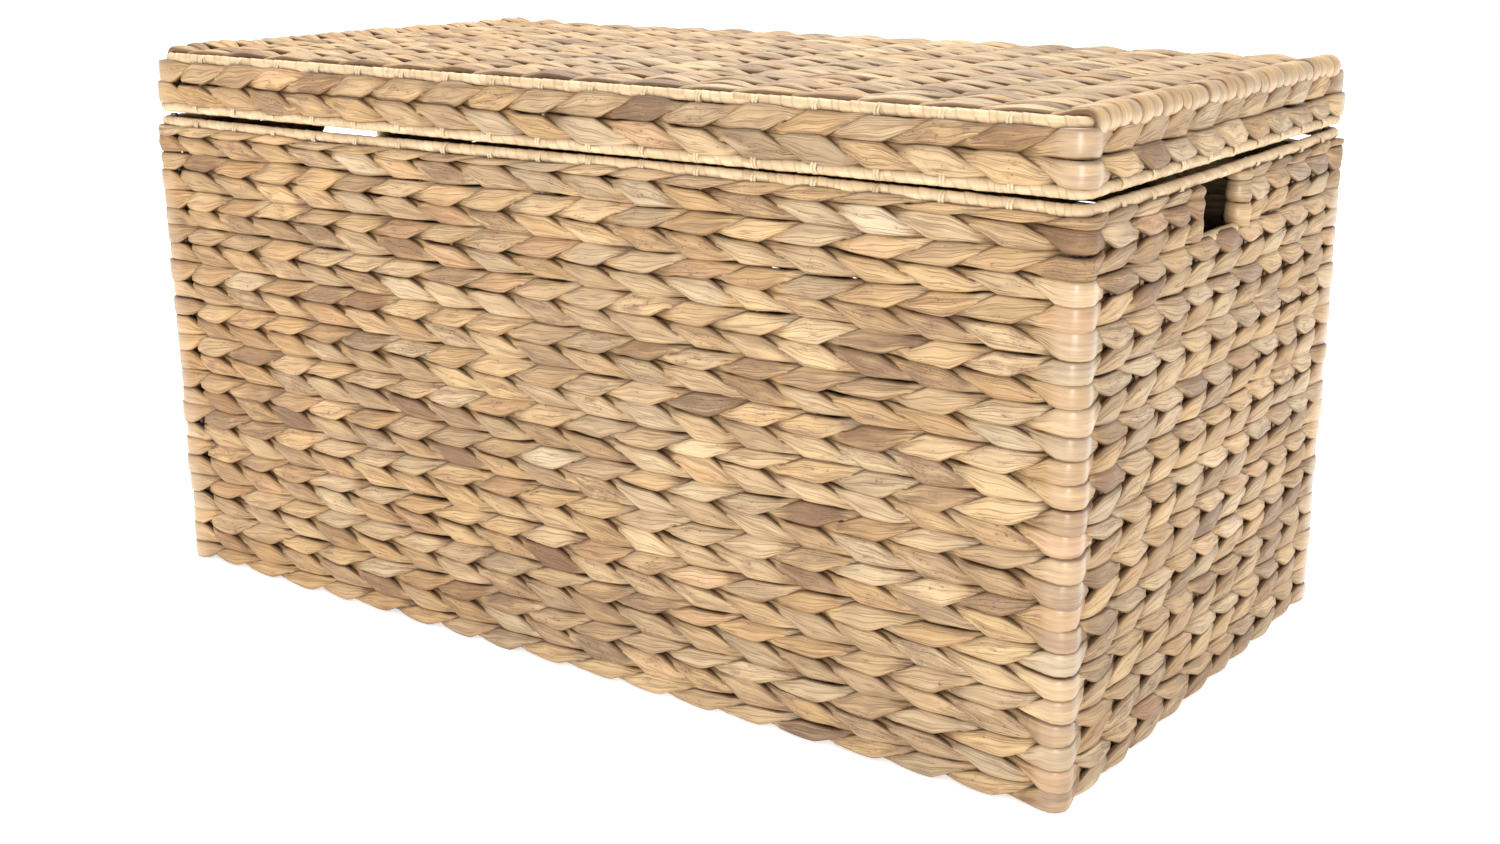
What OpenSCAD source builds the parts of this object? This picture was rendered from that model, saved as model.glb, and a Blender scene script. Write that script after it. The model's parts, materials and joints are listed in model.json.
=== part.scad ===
// Wicker storage trunk: a steel wire frame, twined leaf walls on thin stakes,
// and a shallow woven lid hinged on cord loops along the back rail.
// Millimetres. Origin at the middle of the underside: +X to the right along
// the long front, +Y to the back, +Z up. The lid is drawn closed.

/* [Frame] */
// Length between the centres of the end rails
rail_len = 740; // [640:10:840]
// Depth between the centres of the front and back rails
rail_dep = 400; // [340:10:460]
// Height of the rim rail's centre
rim_z = 344; // [300:1:400]
// Height of the base rail's centre
base_z = 6; // [5:0.5:8]
// Diameter of the rails and corner posts
rail_d = 5; // [4:0.5:6]
// Diameter of the cross rods and hand hole posts
rod_d = 4; // [3:0.5:5]
// Diameter of a rail with its leaf strip wound on
wrap_d = 7.2; // [6.4:0.1:8]

/* [Weave] */
// Full courses of twined leaf up each wall
wall_courses = 24; // [18:1:28]
// Height of the squeezed course under the rim, as a share of a full one
top_course_share = 0.22; // [0.15:0.01:0.6]
// How far the leaves stand out from the middle of the rails
leaf_out = 8; // [6:0.5:10]
// How far the leaves stand in from the middle of the rails
leaf_in = 7; // [6:0.5:9]
// Bays between stakes along the front and back
long_bays = 18; // [12:2:22]
// Bays between stakes along each end
end_bays = 10; // [6:2:12]
// Diameter of a stake, the thin cord that the leaves are twined on
stake_d = 2.2; // [1.8:0.1:2.8]
// Courses of leaf across the base
base_courses = 27; // [20:1:34]
// Thickness of the woven base
base_t = 12.5; // [12:0.5:14]

/* [Lid] */
// Height of the lid's lower rail above the rim rail, centre to centre
lid_lift = 8; // [7.8:0.1:10]
// Height of the lid's top rail above its lower rail
lid_rise = 35; // [30:1:50]
// How far the lid's top rail is set in from its lower rail
lid_inset = 4.8; // [0:0.4:6]
// Courses of leaf round the lid's skirt
skirt_courses = 2; // [2:1:3]
// Courses of leaf across the lid's top
top_courses = 28; // [20:1:34]
// Height of the lid's leaves above the top rail's centre
crown = 8; // [6:0.5:10]

/* [Hand holes] */
// Clear width of a hand hole
hole_w = 67; // [50:1:90]
// Place of a hand hole's middle along the depth
hole_y = -16.5; // [-40:0.5:40]
// Height of the grip bar's centre below the rim rail's centre
grip_drop = 41; // [36:1:60]

/* [Hinge] */
// Width of a cord loop along the rail
loop_w = 14; // [8:1:18]
// Thickness of a cord loop
loop_t = 1.6; // [1:0.1:1.7]
// Clearance of a loop round the rail that it turns on
loop_gap = 0.1; // [0.05:0.01:0.1]

/* [Hidden] */
$fn = 48;
fit = 0.1;
rail_r = rail_d / 2;
wrap_r = wrap_d / 2;
rod_r = rod_d / 2;
stake_r = stake_d / 2;
half_l = rail_len / 2;
half_d = rail_dep / 2;
bend_r = rail_d + fit;
long_bay = rail_len / long_bays;
end_bay = rail_dep / end_bays;

valley_share = 0.56;
valley_fill = 0.25;
wall_top = rim_z - wrap_r - 2.4;
course_h = wall_top / (wall_courses + top_course_share);
wall_heights = concat([for (i = [1:wall_courses]) course_h], [course_h * top_course_share]);
column_r = rail_r + 3.5;
return_len = column_r + 0.9;

courses_at_hole = 2;
hole_foot = course_h * (wall_courses - courses_at_hole);
low_heights = [for (i = [0:wall_courses - courses_at_hole - 1]) wall_heights[i]];
high_heights = [for (i = [wall_courses - courses_at_hole:wall_courses]) wall_heights[i]];
grip_z = rim_z - grip_drop;
hole_lo = hole_y - hole_w / 2;
hole_hi = hole_y + hole_w / 2;
post_margin = 5;

lid_z = rim_z + lid_lift;
lid_top_z = lid_z + lid_rise;
skirt_gap = 0.3;
skirt_z = lid_z + wrap_r + skirt_gap;
skirt_h = lid_rise - 2 * (wrap_r + skirt_gap);
skirt_inset = lid_inset / 2;
skirt_heights = [for (i = [1:skirt_courses]) skirt_h / skirt_courses];
top_stake_z = lid_top_z + stake_d;
cross_x = long_bay * floor(long_bays / 6);
loop_xs = [-6.5 * long_bay, -2.5 * long_bay, 2.5 * long_bay, 6.5 * long_bay];

leaf = [0.74, 0.60, 0.40];
pale_leaf = [0.86, 0.80, 0.66];
cord = [0.80, 0.72, 0.56];
steel = [0.42, 0.42, 0.44];

// ---- placing ----

// Puts a piece drawn on the +Y side on the front, and leaves the back as drawn.
module on_front() mirror([0, 1, 0]) children();

// Puts a piece drawn on the +X side on the left end.
module on_left() mirror([1, 0, 0]) children();

// Turns a flat outline (out, up) into a run along X that faces +Y.
module along_x(len) rotate([90, 0, 90]) linear_extrude(len, center = true) children();

// Turns a flat outline (out, up) into a run along Y that faces +X.
module along_y(len) rotate([90, 0, 0]) linear_extrude(len, center = true) children();

// ---- rails ----

// A straight rail along X at the back, with the bends at both of its ends.
module long_rail(l, d, z, r) {
    translate([0, d, z]) rotate([0, 90, 0])
        cylinder(r = r, h = 2 * (l - bend_r), center = true);
    for (s = [0, 1]) mirror([s, 0, 0])
        translate([l - bend_r, d - bend_r, z])
            rotate_extrude(angle = 90) translate([bend_r, 0]) circle(r);
}

// A straight rail along Y at the right end, between the bends.
module end_rail(l, d, z, r)
    translate([l, 0, z]) rotate([90, 0, 0])
        cylinder(r = r, h = 2 * (d - bend_r), center = true);

// A closed rail: four straight sides and four bends.
module rail_loop(l, d, z, r) {
    for (s = [0, 1]) mirror([0, s, 0]) long_rail(l, d, z, r);
    for (s = [0, 1]) mirror([s, 0, 0]) end_rail(l, d, z, r);
}

// ---- posts, rods and stakes ----

// The back right corner post of the body, standing in the bends of both rails.
module corner_post(r)
    translate([half_l - bend_r, half_d - bend_r, base_z - rail_r])
        cylinder(r = r, h = rim_z - base_z + rail_d);

// The back right corner post of the lid, leaning in to the smaller top rail.
module lid_post(r) {
    lean = atan2(lid_inset * sqrt(2), lid_rise);
    reach = rail_r * 0.6;
    translate([half_l - bend_r, half_d - bend_r, lid_z])
        rotate([0, 0, 45]) rotate([0, -lean, 0]) translate([0, 0, -reach])
            cylinder(r = r, h = lid_rise / cos(lean) + 2 * reach);
}

// Four copies of a corner piece, one in each corner.
module four_corners()
    for (s = [0, 1], t = [0, 1]) mirror([s, 0, 0]) mirror([0, t, 0]) children();

// Rods from the front rail to the back rail, under or over the leaves.
module cross_rods(z, reach, r)
    for (x = [-cross_x, cross_x])
        translate([x, 0, z]) rotate([90, 0, 0])
            cylinder(r = r, h = 2 * reach, center = true);

// Stakes from the front to the back, except where a cross rod takes the place.
module flat_stakes(z, reach, r)
    for (i = [1:long_bays - 1]) {
        x = i * long_bay - half_l;
        if (abs(abs(x) - cross_x) > 1)
            translate([x, 0, z]) rotate([90, 0, 0])
                cylinder(r = r, h = 2 * reach, center = true);
    }

// Upright stakes in a long wall on the +Y side.
module long_stakes(d, z0, z1, r)
    for (i = [1:long_bays - 1])
        translate([i * long_bay - half_l, d, z0]) cylinder(r = r, h = z1 - z0);

// Upright stakes in an end on the +X side. Those below the hand hole are short.
module end_stakes(l, z0, z1, r, short_z)
    for (i = [1:end_bays - 1]) {
        y = i * end_bay - half_d;
        below_hole = y > hole_lo - 1 && y < hole_hi + 1;
        translate([l, y, z0])
            cylinder(r = r, h = (below_hole ? short_z : z1) - z0);
    }

// The two rods beside a hand hole, on the +X side.
module hole_posts(r)
    for (y = [hole_lo - post_margin, hole_hi + post_margin])
        translate([half_l, y, base_z + rail_r + fit])
            cylinder(r = r, h = rim_z - base_z - rail_d - 2 * fit);

// A bar along Y between the two rods of a hand hole.
module grip(r) {
    len = hole_w + 2 * (post_margin - rod_r - fit);
    translate([half_l, hole_y, grip_z]) rotate([90, 0, 0])
        cylinder(r = r, h = len, center = true);
}

// ---- woven leaf ----

// One course seen end on: a bulge of height h that stands from 0 to peak.
module course_bulge(h, peak) {
    rise = min(peak * (1 - valley_share), h * 0.49);
    r = h * h / (8 * rise) + rise / 2;
    top = peak * valley_share + rise;
    intersection() {
        translate([top - r, h / 2]) circle(r);
        square([top + 1, h]);
    }
}

// Height of the foot of course i in a stack of course heights.
function course_foot(hs, i) = i == 0 ? 0 : hs[i - 1] + course_foot(hs, i - 1);

// A wall seen end on: out from the rails' middle, and up from z0.
module wall_outline(z0, hs) {
    total = course_foot(hs, len(hs));
    translate([-leaf_in * valley_share - valley_fill, z0])
        square([(leaf_in + leaf_out) * valley_share + 2 * valley_fill, total]);
    for (i = [0:len(hs) - 1]) translate([0, z0 + course_foot(hs, i)]) {
        course_bulge(hs[i], leaf_out);
        mirror([1, 0]) course_bulge(hs[i], leaf_in);
    }
}

// A long wall on the +Y side, carried round both corners.
module long_wall(l, d, z0, hs) {
    height = course_foot(hs, len(hs));
    translate([0, d, 0]) along_x(2 * (l - bend_r)) wall_outline(z0, hs);
    for (s = [0, 1]) mirror([s, 0, 0]) {
        translate([l - bend_r, d - bend_r, 0]) rotate_extrude(angle = 90)
            intersection() {
                translate([bend_r, 0]) wall_outline(z0, hs);
                translate([0, z0 - 1]) square([bend_r + leaf_out + 1, height + 2]);
            }
        translate([l - bend_r, d - bend_r, z0]) cylinder(r = column_r, h = height);
        translate([l, d - bend_r - return_len / 2, 0])
            along_y(return_len) wall_outline(z0, hs);
    }
}

// A run of an end wall on the +X side, from y0 to y1.
module end_run(l, y0, y1, z0, hs)
    translate([l, (y0 + y1) / 2, 0]) along_y(y1 - y0) wall_outline(z0, hs);

// A whole end wall on the +X side, between the long walls' corners.
module end_wall(l, d, z0, hs) {
    reach = d - bend_r - return_len;
    end_run(l, -reach, reach, z0, hs);
}

// A flat panel of courses that run along X, flat underneath and bulged on top.
module flat_panel(l, d, z0, z1, valley_drop, count) {
    pitch = 2 * d / count;
    r = pitch * pitch / (8 * valley_drop) + valley_drop / 2;
    along_x(2 * l) {
        translate([-d, z0]) square([2 * d, z1 - valley_drop + valley_fill - z0]);
        for (i = [0:count - 1]) translate([(i + 0.5) * pitch - d, 0])
            intersection() {
                translate([0, z1 - r]) circle(r);
                translate([-pitch / 2, z0]) square([pitch, z1 - z0 + 1]);
            }
    }
}

// ---- the body's frame ----

module base_rail() color(steel) rail_loop(half_l, half_d, base_z, rail_r);
module rim_rail() color(steel) rail_loop(half_l, half_d, rim_z, rail_r);

module corner_post_front_left() color(steel) on_front() on_left() corner_post(rail_r);
module corner_post_front_right() color(steel) on_front() corner_post(rail_r);
module corner_post_back_left() color(steel) on_left() corner_post(rail_r);
module corner_post_back_right() color(steel) corner_post(rail_r);

module base_cross_rods() color(steel) cross_rods(base_z, half_d - rail_r - fit, rod_r);

module right_hole_posts() color(steel) hole_posts(rod_r);
module left_hole_posts() color(steel) on_left() hole_posts(rod_r);
module right_grip_bar() color(steel) grip(rail_r);
module left_grip_bar() color(steel) on_left() grip(rail_r);

module grip_wrap() color(pale_leaf) difference() {
    grip(wrap_r);
    translate([0, hole_w, 0]) grip(rail_r);
    grip(rail_r);
    translate([0, -hole_w, 0]) grip(rail_r);
}
module right_grip_wrap() grip_wrap();
module left_grip_wrap() on_left() grip_wrap();

// ---- the body's wrapping and stakes ----

// The leaf strip wound on a long rail, with the posts and rods let into it.
module long_wrap(l, d, z) color(pale_leaf) difference() {
    long_rail(l, d, z, wrap_r);
    rail_loop(l, d, z, rail_r);
    children();
}

// The leaf strip wound on an end rail.
module end_wrap(l, d, z) color(pale_leaf) difference() {
    end_rail(l, d, z, wrap_r);
    rail_loop(l, d, z, rail_r);
    children();
}

module rim_wrap_back() long_wrap(half_l, half_d, rim_z) four_corners() corner_post(rail_r);
module rim_wrap_front() on_front() rim_wrap_back();
module rim_wrap_right() end_wrap(half_l, half_d, rim_z) {
    four_corners() corner_post(rail_r);
    hole_posts(rod_r);
}
module rim_wrap_left() on_left() rim_wrap_right();

module body_long_stakes(r, slack)
    long_stakes(half_d, base_z + rail_r + fit - slack, rim_z - wrap_r - fit + slack, r);
module body_end_stakes(r, slack)
    end_stakes(half_l, base_z + rail_r + fit - slack, rim_z - wrap_r - fit + slack, r,
        grip_z - wrap_r - fit + slack);

module back_stakes() color(cord) body_long_stakes(stake_r, 0);
module front_stakes() on_front() back_stakes();
module right_stakes() color(cord) body_end_stakes(stake_r, 0);
module left_stakes() on_left() right_stakes();
module base_stakes() color(cord) flat_stakes(base_z, half_d - rail_r - fit, stake_r);

// ---- the body's leaves ----

module back_weave() color(leaf) difference() {
    long_wall(half_l, half_d, 0, wall_heights);
    rail_loop(half_l, half_d, base_z, rail_r + fit);
    four_corners() corner_post(rail_r + fit);
    body_long_stakes(stake_r + fit, 2);
    cross_rods(base_z, half_d, rod_r + fit);
    flat_stakes(base_z, half_d, stake_r + fit);
}
module front_weave() on_front() back_weave();

// The end's courses below the hand hole, with the grip bar let in at the top.
module right_weave() color(leaf) difference() {
    end_wall(half_l, half_d, 0, low_heights);
    rail_loop(half_l, half_d, base_z, rail_r + fit);
    body_end_stakes(stake_r + fit, 2);
    hole_posts(rod_r + fit);
    grip(wrap_r + fit);
    translate([half_l - 2 * leaf_in, hole_lo, grip_z])
        cube([2 * (leaf_in + leaf_out), hole_w, rim_z - grip_z]);
}
module left_weave() on_left() right_weave();

// The courses beside a hand hole, which turn back at the rod they end on.
module hole_flank(y0, y1) color(leaf) difference() {
    end_run(half_l, y0, y1, hole_foot, high_heights);
    body_end_stakes(stake_r + fit, 2);
    hole_posts(rod_r + fit);
}
module right_weave_front() hole_flank(bend_r + return_len - half_d, hole_lo);
module right_weave_back() hole_flank(hole_hi, half_d - bend_r - return_len);
module left_weave_front() on_left() right_weave_front();
module left_weave_back() on_left() right_weave_back();

module base_weave() color(leaf) difference() {
    flat_panel(half_l - leaf_in - 0.3, half_d - leaf_in - 0.3, 0, base_t, 2.5, base_courses);
    four_corners() translate([half_l - bend_r, half_d - bend_r, -1])
        cylinder(r = column_r + fit, h = base_t + 2);
    cross_rods(base_z, half_d, rod_r + fit);
    flat_stakes(base_z, half_d, stake_r + fit);
}

// ---- the lid's frame ----

lid_l = half_l - lid_inset;
lid_d = half_d - lid_inset;

module lid_lower_rail() color(steel) rail_loop(half_l, half_d, lid_z, rail_r);
module lid_top_rail() color(steel) rail_loop(lid_l, lid_d, lid_top_z, rail_r);

module lid_post_front_left() color(steel) on_front() on_left() lid_post(rail_r);
module lid_post_front_right() color(steel) on_front() lid_post(rail_r);
module lid_post_back_left() color(steel) on_left() lid_post(rail_r);
module lid_post_back_right() color(steel) lid_post(rail_r);

module lid_cross_rods() color(steel) cross_rods(lid_top_z, lid_d - rail_r - fit, rod_r);

// ---- the lid's wrapping and stakes ----

module lid_lower_wrap_back() long_wrap(half_l, half_d, lid_z) four_corners() lid_post(rail_r);
module lid_lower_wrap_front() on_front() lid_lower_wrap_back();
module lid_lower_wrap_right() end_wrap(half_l, half_d, lid_z) four_corners() lid_post(rail_r);
module lid_lower_wrap_left() on_left() lid_lower_wrap_right();

module lid_top_wrap_back() long_wrap(lid_l, lid_d, lid_top_z) {
    four_corners() lid_post(rail_r);
    cross_rods(lid_top_z, lid_d, rod_r);
}
module lid_top_wrap_front() on_front() lid_top_wrap_back();
module lid_top_wrap_right() end_wrap(lid_l, lid_d, lid_top_z) four_corners() lid_post(rail_r);
module lid_top_wrap_left() on_left() lid_top_wrap_right();

// The skirt's upright stakes on all four sides.
module skirt_stakes(r, slack) {
    z0 = skirt_z - skirt_gap - fit - slack;
    z1 = skirt_z + skirt_h + skirt_gap + fit + slack;
    for (s = [0, 1]) mirror([0, s, 0]) long_stakes(half_d - skirt_inset, z0, z1, r);
    for (s = [0, 1]) mirror([s, 0, 0])
        end_stakes(half_l - skirt_inset, z0, z1, r, z1);
}
module lid_skirt_stakes() color(cord) skirt_stakes(stake_r, 0);
module lid_top_stakes() color(cord) flat_stakes(top_stake_z, lid_d - wrap_r, stake_r);

// ---- the lid's leaves ----

module lid_back_plain() difference() {
    long_wall(half_l - skirt_inset, half_d - skirt_inset, skirt_z, skirt_heights);
    four_corners() lid_post(rail_r + fit);
    skirt_stakes(stake_r + fit, 2);
}
module lid_back_weave() color(leaf) difference() {
    lid_back_plain();
    for (x = loop_xs) hinge_slot(x);
}
module lid_front_weave() color(leaf) on_front() lid_back_plain();
module lid_right_weave() color(leaf) difference() {
    end_wall(half_l - skirt_inset, half_d - skirt_inset, skirt_z, skirt_heights);
    skirt_stakes(stake_r + fit, 2);
}
module lid_left_weave() on_left() lid_right_weave();

module lid_top_weave() color(leaf) difference() {
    flat_panel(lid_l - wrap_r - 0.3, lid_d - wrap_r - 0.3, lid_top_z - wrap_r,
        lid_top_z + crown, 3.5, top_courses);
    four_corners() lid_post(rail_r + fit);
    cross_rods(lid_top_z, half_d, rod_r + fit);
    flat_stakes(top_stake_z, half_d, stake_r + fit);
}

// ---- the hinge ----

// An outline round the rim rail and the lid's lower rail, r away from both.
module loop_outline(r) {
    circle(r);
    translate([0, lid_lift]) circle(r);
    translate([-r, 0]) square([2 * r, lid_lift]);
}

// A cord loop fixed on the lid's lower rail, which turns on the rim rail.
module hinge_loop(x) color(cord)
    translate([x, half_d, rim_z]) along_x(loop_w) difference() {
        loop_outline(wrap_r + loop_gap + loop_t);
        loop_outline(wrap_r + loop_gap);
    }

// The room that a loop takes in the lid's back skirt.
module hinge_slot(x)
    translate([x, half_d, rim_z]) along_x(loop_w + 4 * fit)
        loop_outline(wrap_r + loop_gap + loop_t + 2 * fit);

module hinge_loop_1() hinge_loop(loop_xs[0]);
module hinge_loop_2() hinge_loop(loop_xs[1]);
module hinge_loop_3() hinge_loop(loop_xs[2]);
module hinge_loop_4() hinge_loop(loop_xs[3]);

base_rail();
rim_rail();
corner_post_front_left();
corner_post_front_right();
corner_post_back_left();
corner_post_back_right();
base_cross_rods();
left_hole_posts();
right_hole_posts();
left_grip_bar();
right_grip_bar();
left_grip_wrap();
right_grip_wrap();
rim_wrap_front();
rim_wrap_back();
rim_wrap_left();
rim_wrap_right();
front_stakes();
back_stakes();
left_stakes();
right_stakes();
base_stakes();
front_weave();
back_weave();
left_weave();
left_weave_front();
left_weave_back();
right_weave();
right_weave_front();
right_weave_back();
base_weave();
lid_lower_rail();
lid_top_rail();
lid_post_front_left();
lid_post_front_right();
lid_post_back_left();
lid_post_back_right();
lid_cross_rods();
lid_lower_wrap_front();
lid_lower_wrap_back();
lid_lower_wrap_left();
lid_lower_wrap_right();
lid_top_wrap_front();
lid_top_wrap_back();
lid_top_wrap_left();
lid_top_wrap_right();
lid_skirt_stakes();
lid_top_stakes();
lid_front_weave();
lid_back_weave();
lid_left_weave();
lid_right_weave();
lid_top_weave();
hinge_loop_1();
hinge_loop_2();
hinge_loop_3();
hinge_loop_4();
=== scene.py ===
"""A wicker storage trunk: twined leaf walls on a wire frame, with a lid that swings on cord loops.

Metres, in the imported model's frame: +X to the right along the front, +Y to the back, +Z up.
The twined leaves, the wound strips and the cords are swept along their own paths, as cords are;
the small lashings, the floor and the lamps start from primitives.
"""

import json
import logging
import math
from dataclasses import dataclass, field
from enum import Enum
from typing import Any, Callable, Sequence

import bpy
import numpy as np
from mathutils import Matrix, Vector


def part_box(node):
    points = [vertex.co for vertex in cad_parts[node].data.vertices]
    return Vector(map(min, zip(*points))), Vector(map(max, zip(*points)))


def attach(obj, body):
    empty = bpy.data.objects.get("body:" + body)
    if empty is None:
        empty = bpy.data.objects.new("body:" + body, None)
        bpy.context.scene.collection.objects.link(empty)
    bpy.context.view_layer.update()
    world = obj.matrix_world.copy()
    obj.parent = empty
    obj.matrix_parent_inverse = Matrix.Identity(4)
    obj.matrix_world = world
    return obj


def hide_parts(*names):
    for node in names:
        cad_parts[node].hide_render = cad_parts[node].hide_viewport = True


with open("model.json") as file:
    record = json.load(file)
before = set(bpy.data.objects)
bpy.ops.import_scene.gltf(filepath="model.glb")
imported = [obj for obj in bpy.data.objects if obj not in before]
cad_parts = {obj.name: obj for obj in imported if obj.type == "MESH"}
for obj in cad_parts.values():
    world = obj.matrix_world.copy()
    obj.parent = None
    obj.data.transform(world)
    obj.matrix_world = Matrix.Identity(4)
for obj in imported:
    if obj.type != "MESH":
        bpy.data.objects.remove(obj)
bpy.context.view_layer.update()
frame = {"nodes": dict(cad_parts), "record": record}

log = logging.getLogger("trunk")
MM = 0.001
UP = np.array([0.0, 0.0, 1.0])
BACKWARDS = np.array([0.0, 1.0, 0.0])
Colour = tuple[float, float, float, float]
LineOf = Callable[[np.ndarray], np.ndarray]
WHITE: Colour = (1.0, 1.0, 1.0, 1.0)
SIDES = ("front", "back", "left", "right")

# How many bays there are between stakes: along a long wall, along an end wall and all round.
LONG_BAYS, END_BAYS = 18, 10
BAYS_ROUND = 2 * (LONG_BAYS + END_BAYS)

# What is worked out at each ring of a leaf, and what is drawn by chance for it.
FORMS = ("out", "depth", "height", "lift", "flat", "creased", "dusk")
CHANCES = ("tone", "dark", "warm", "crease", "ridge")


class Body(Enum):
    """The two bodies that pieces move with."""

    TRUNK = "trunk"
    LID = "lid"


class Lean(Enum):
    """Which way a course's leaves slope, seen from outside the trunk."""

    FALLING = 1
    RISING = -1

    @staticmethod
    def of(number: int) -> "Lean":
        """The lean of a course, which turns round from each course to the next."""
        return Lean.FALLING if number % 2 else Lean.RISING


def added(operator: Any, **settings: Any) -> bpy.types.Object:
    """Adds an object with one of Blender's operators, with nothing else selected."""
    bpy.ops.object.select_all(action="DESELECT")
    operator(**settings)
    return bpy.context.active_object


# ---- materials ----


class Shade:
    """A number or colour on its way through a material, with arithmetic on numbers."""

    def __init__(self, board: "Board", socket: bpy.types.NodeSocket) -> None:
        """Keeps the socket and the board that it is on."""
        self.board = board
        self.socket = socket

    def _sum(self, operation: str, other: Any, flipped: bool = False) -> "Shade":
        """Adds one Math node.

        Args:
            operation: the Math node's operation.
            other: the other number or Shade.
            flipped: True when this Shade is the second operand.

        Returns:
            The result as a Shade.
        """
        first, second = (other, self) if flipped else (self, other)
        return self.board.node("ShaderNodeMath", {"operation": operation}, {0: first, 1: second})

    def __add__(self, other: Any) -> "Shade":
        """Adds."""
        return self._sum("ADD", other)

    __radd__ = __add__

    def __sub__(self, other: Any) -> "Shade":
        """Subtracts."""
        return self._sum("SUBTRACT", other)

    def __rsub__(self, other: Any) -> "Shade":
        """Subtracts this from a number."""
        return self._sum("SUBTRACT", other, flipped=True)

    def __mul__(self, other: Any) -> "Shade":
        """Multiplies."""
        return self._sum("MULTIPLY", other)

    __rmul__ = __mul__

    def whole(self) -> "Shade":
        """Rounds down to a whole number."""
        return self._sum("FLOOR", 0.0)

    def away(self, middle: float) -> "Shade":
        """How far the number is from a middle."""
        return (self - middle)._sum("ABSOLUTE", 0.0)

    def axis(self, name: str) -> "Shade":
        """One coordinate of a place: X, Y or Z."""
        return self.board.node("ShaderNodeSeparateXYZ", {}, {0: self}, name)

    def ease(self, low: float, high: float) -> "Shade":
        """Rises smoothly from 0 at low to 1 at high.

        Args:
            low: where the rise starts.
            high: where the rise ends.

        Returns:
            The eased number.
        """
        settings = {"interpolation_type": "SMOOTHSTEP"}
        return self.board.node("ShaderNodeMapRange", settings, {0: self, 1: low, 2: high})


class Board:
    """A material's node tree, with one method that adds any node."""

    def __init__(self, name: str) -> None:
        """Makes an empty material of that name with a Principled shader."""
        self.material = bpy.data.materials.new(name)
        self.material.use_nodes = True
        self.tree = self.material.node_tree
        self.shader = self.tree.nodes["Principled BSDF"]

    def node(
        self, kind: str, settings: dict[str, Any], inputs: dict[Any, Any], output: Any = 0
    ) -> Shade:
        """Adds a node.

        Args:
            kind: the node's type.
            settings: its settings, set first; "stops" are a colour ramp's stops.
            inputs: values or Shades by socket number or name.
            output: the number or name of the output that is wanted.

        Returns:
            That output as a Shade.
        """
        made = self.tree.nodes.new(kind)
        for key, value in settings.items():
            if key == "stops":
                ramp = made.color_ramp.elements
                while len(ramp) < len(value):
                    ramp.new(0.5)
                for element, (place, colour) in zip(ramp, value):
                    element.position, element.color = place, colour
            else:
                setattr(made, key, value)
        for key, value in inputs.items():
            self.feed(made.inputs[key], value)
        return Shade(self, made.outputs[output])

    def feed(self, socket: bpy.types.NodeSocket, value: Any) -> None:
        """Links a Shade to a socket, or sets the socket to a plain value."""
        if isinstance(value, Shade):
            self.tree.links.new(value.socket, socket)
        else:
            socket.default_value = value

    def mix(self, share: Any, first: Any, second: Any, blend: str = "MIX") -> Shade:
        """Mixes two colours.

        Args:
            share: how much of the second, from 0 to 1.
            first: the colour at 0.
            second: the colour at 1.
            blend: how they blend.

        Returns:
            The mixed colour.
        """
        settings = {"data_type": "RGBA", "blend_type": blend}
        return self.node("ShaderNodeMix", settings, {0: share, 6: first, 7: second}, output=2)

    def ramp(self, level: Shade, *stops: tuple[float, Colour]) -> Shade:
        """The colour at a level, between stops of a place and a colour each."""
        return self.node("ShaderNodeValToRGB", {"stops": stops}, {0: level})

    def spot(self) -> Shade:
        """The place on the object, in metres."""
        return self.node("ShaderNodeTexCoord", {}, {}, "Object")

    def noise(
        self, place: Shade, scale: tuple[float, float, float], detail: float, rough: float = 0.5
    ) -> Shade:
        """Makes smooth noise.

        Args:
            place: where it is read.
            scale: how many lumps there are to a unit of each coordinate.
            detail: how many finer layers it has.
            rough: how strong the finer layers are.

        Returns:
            The noise, from 0 to 1.
        """
        place = self.node("ShaderNodeVectorMath", {"operation": "MULTIPLY"}, {0: place, 1: scale})
        inputs = {"Vector": place, "Scale": 1.0, "Detail": detail, "Roughness": rough}
        return self.node("ShaderNodeTexNoise", {}, inputs)

    def finish(self, colour: Any, roughness: Any, height: Shade, depth: float) -> None:
        """Feeds the shader.

        Args:
            colour: the base colour.
            roughness: the roughness.
            height: the bump's height, from 0 to 1.
            depth: what a height of 1 is, in metres.
        """
        relief = {"Strength": 1.0, "Distance": depth, "Height": height}
        bump = self.node("ShaderNodeBump", {}, relief)
        for name, value in (("Base Color", colour), ("Roughness", roughness), ("Normal", bump)):
            self.feed(self.shader.inputs[name], value)


@dataclass(frozen=True)
class Finish:
    """What every finish has: a name, and a height of relief in metres."""

    name: str
    relief: float

    def make(self) -> bpy.types.Material:
        """Builds the material."""
        board = Board(self.name)
        self.paint(board)
        return board.material

    def paint(self, board: Board) -> None:
        """Adds the finish's nodes to a board."""
        raise NotImplementedError


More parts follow.
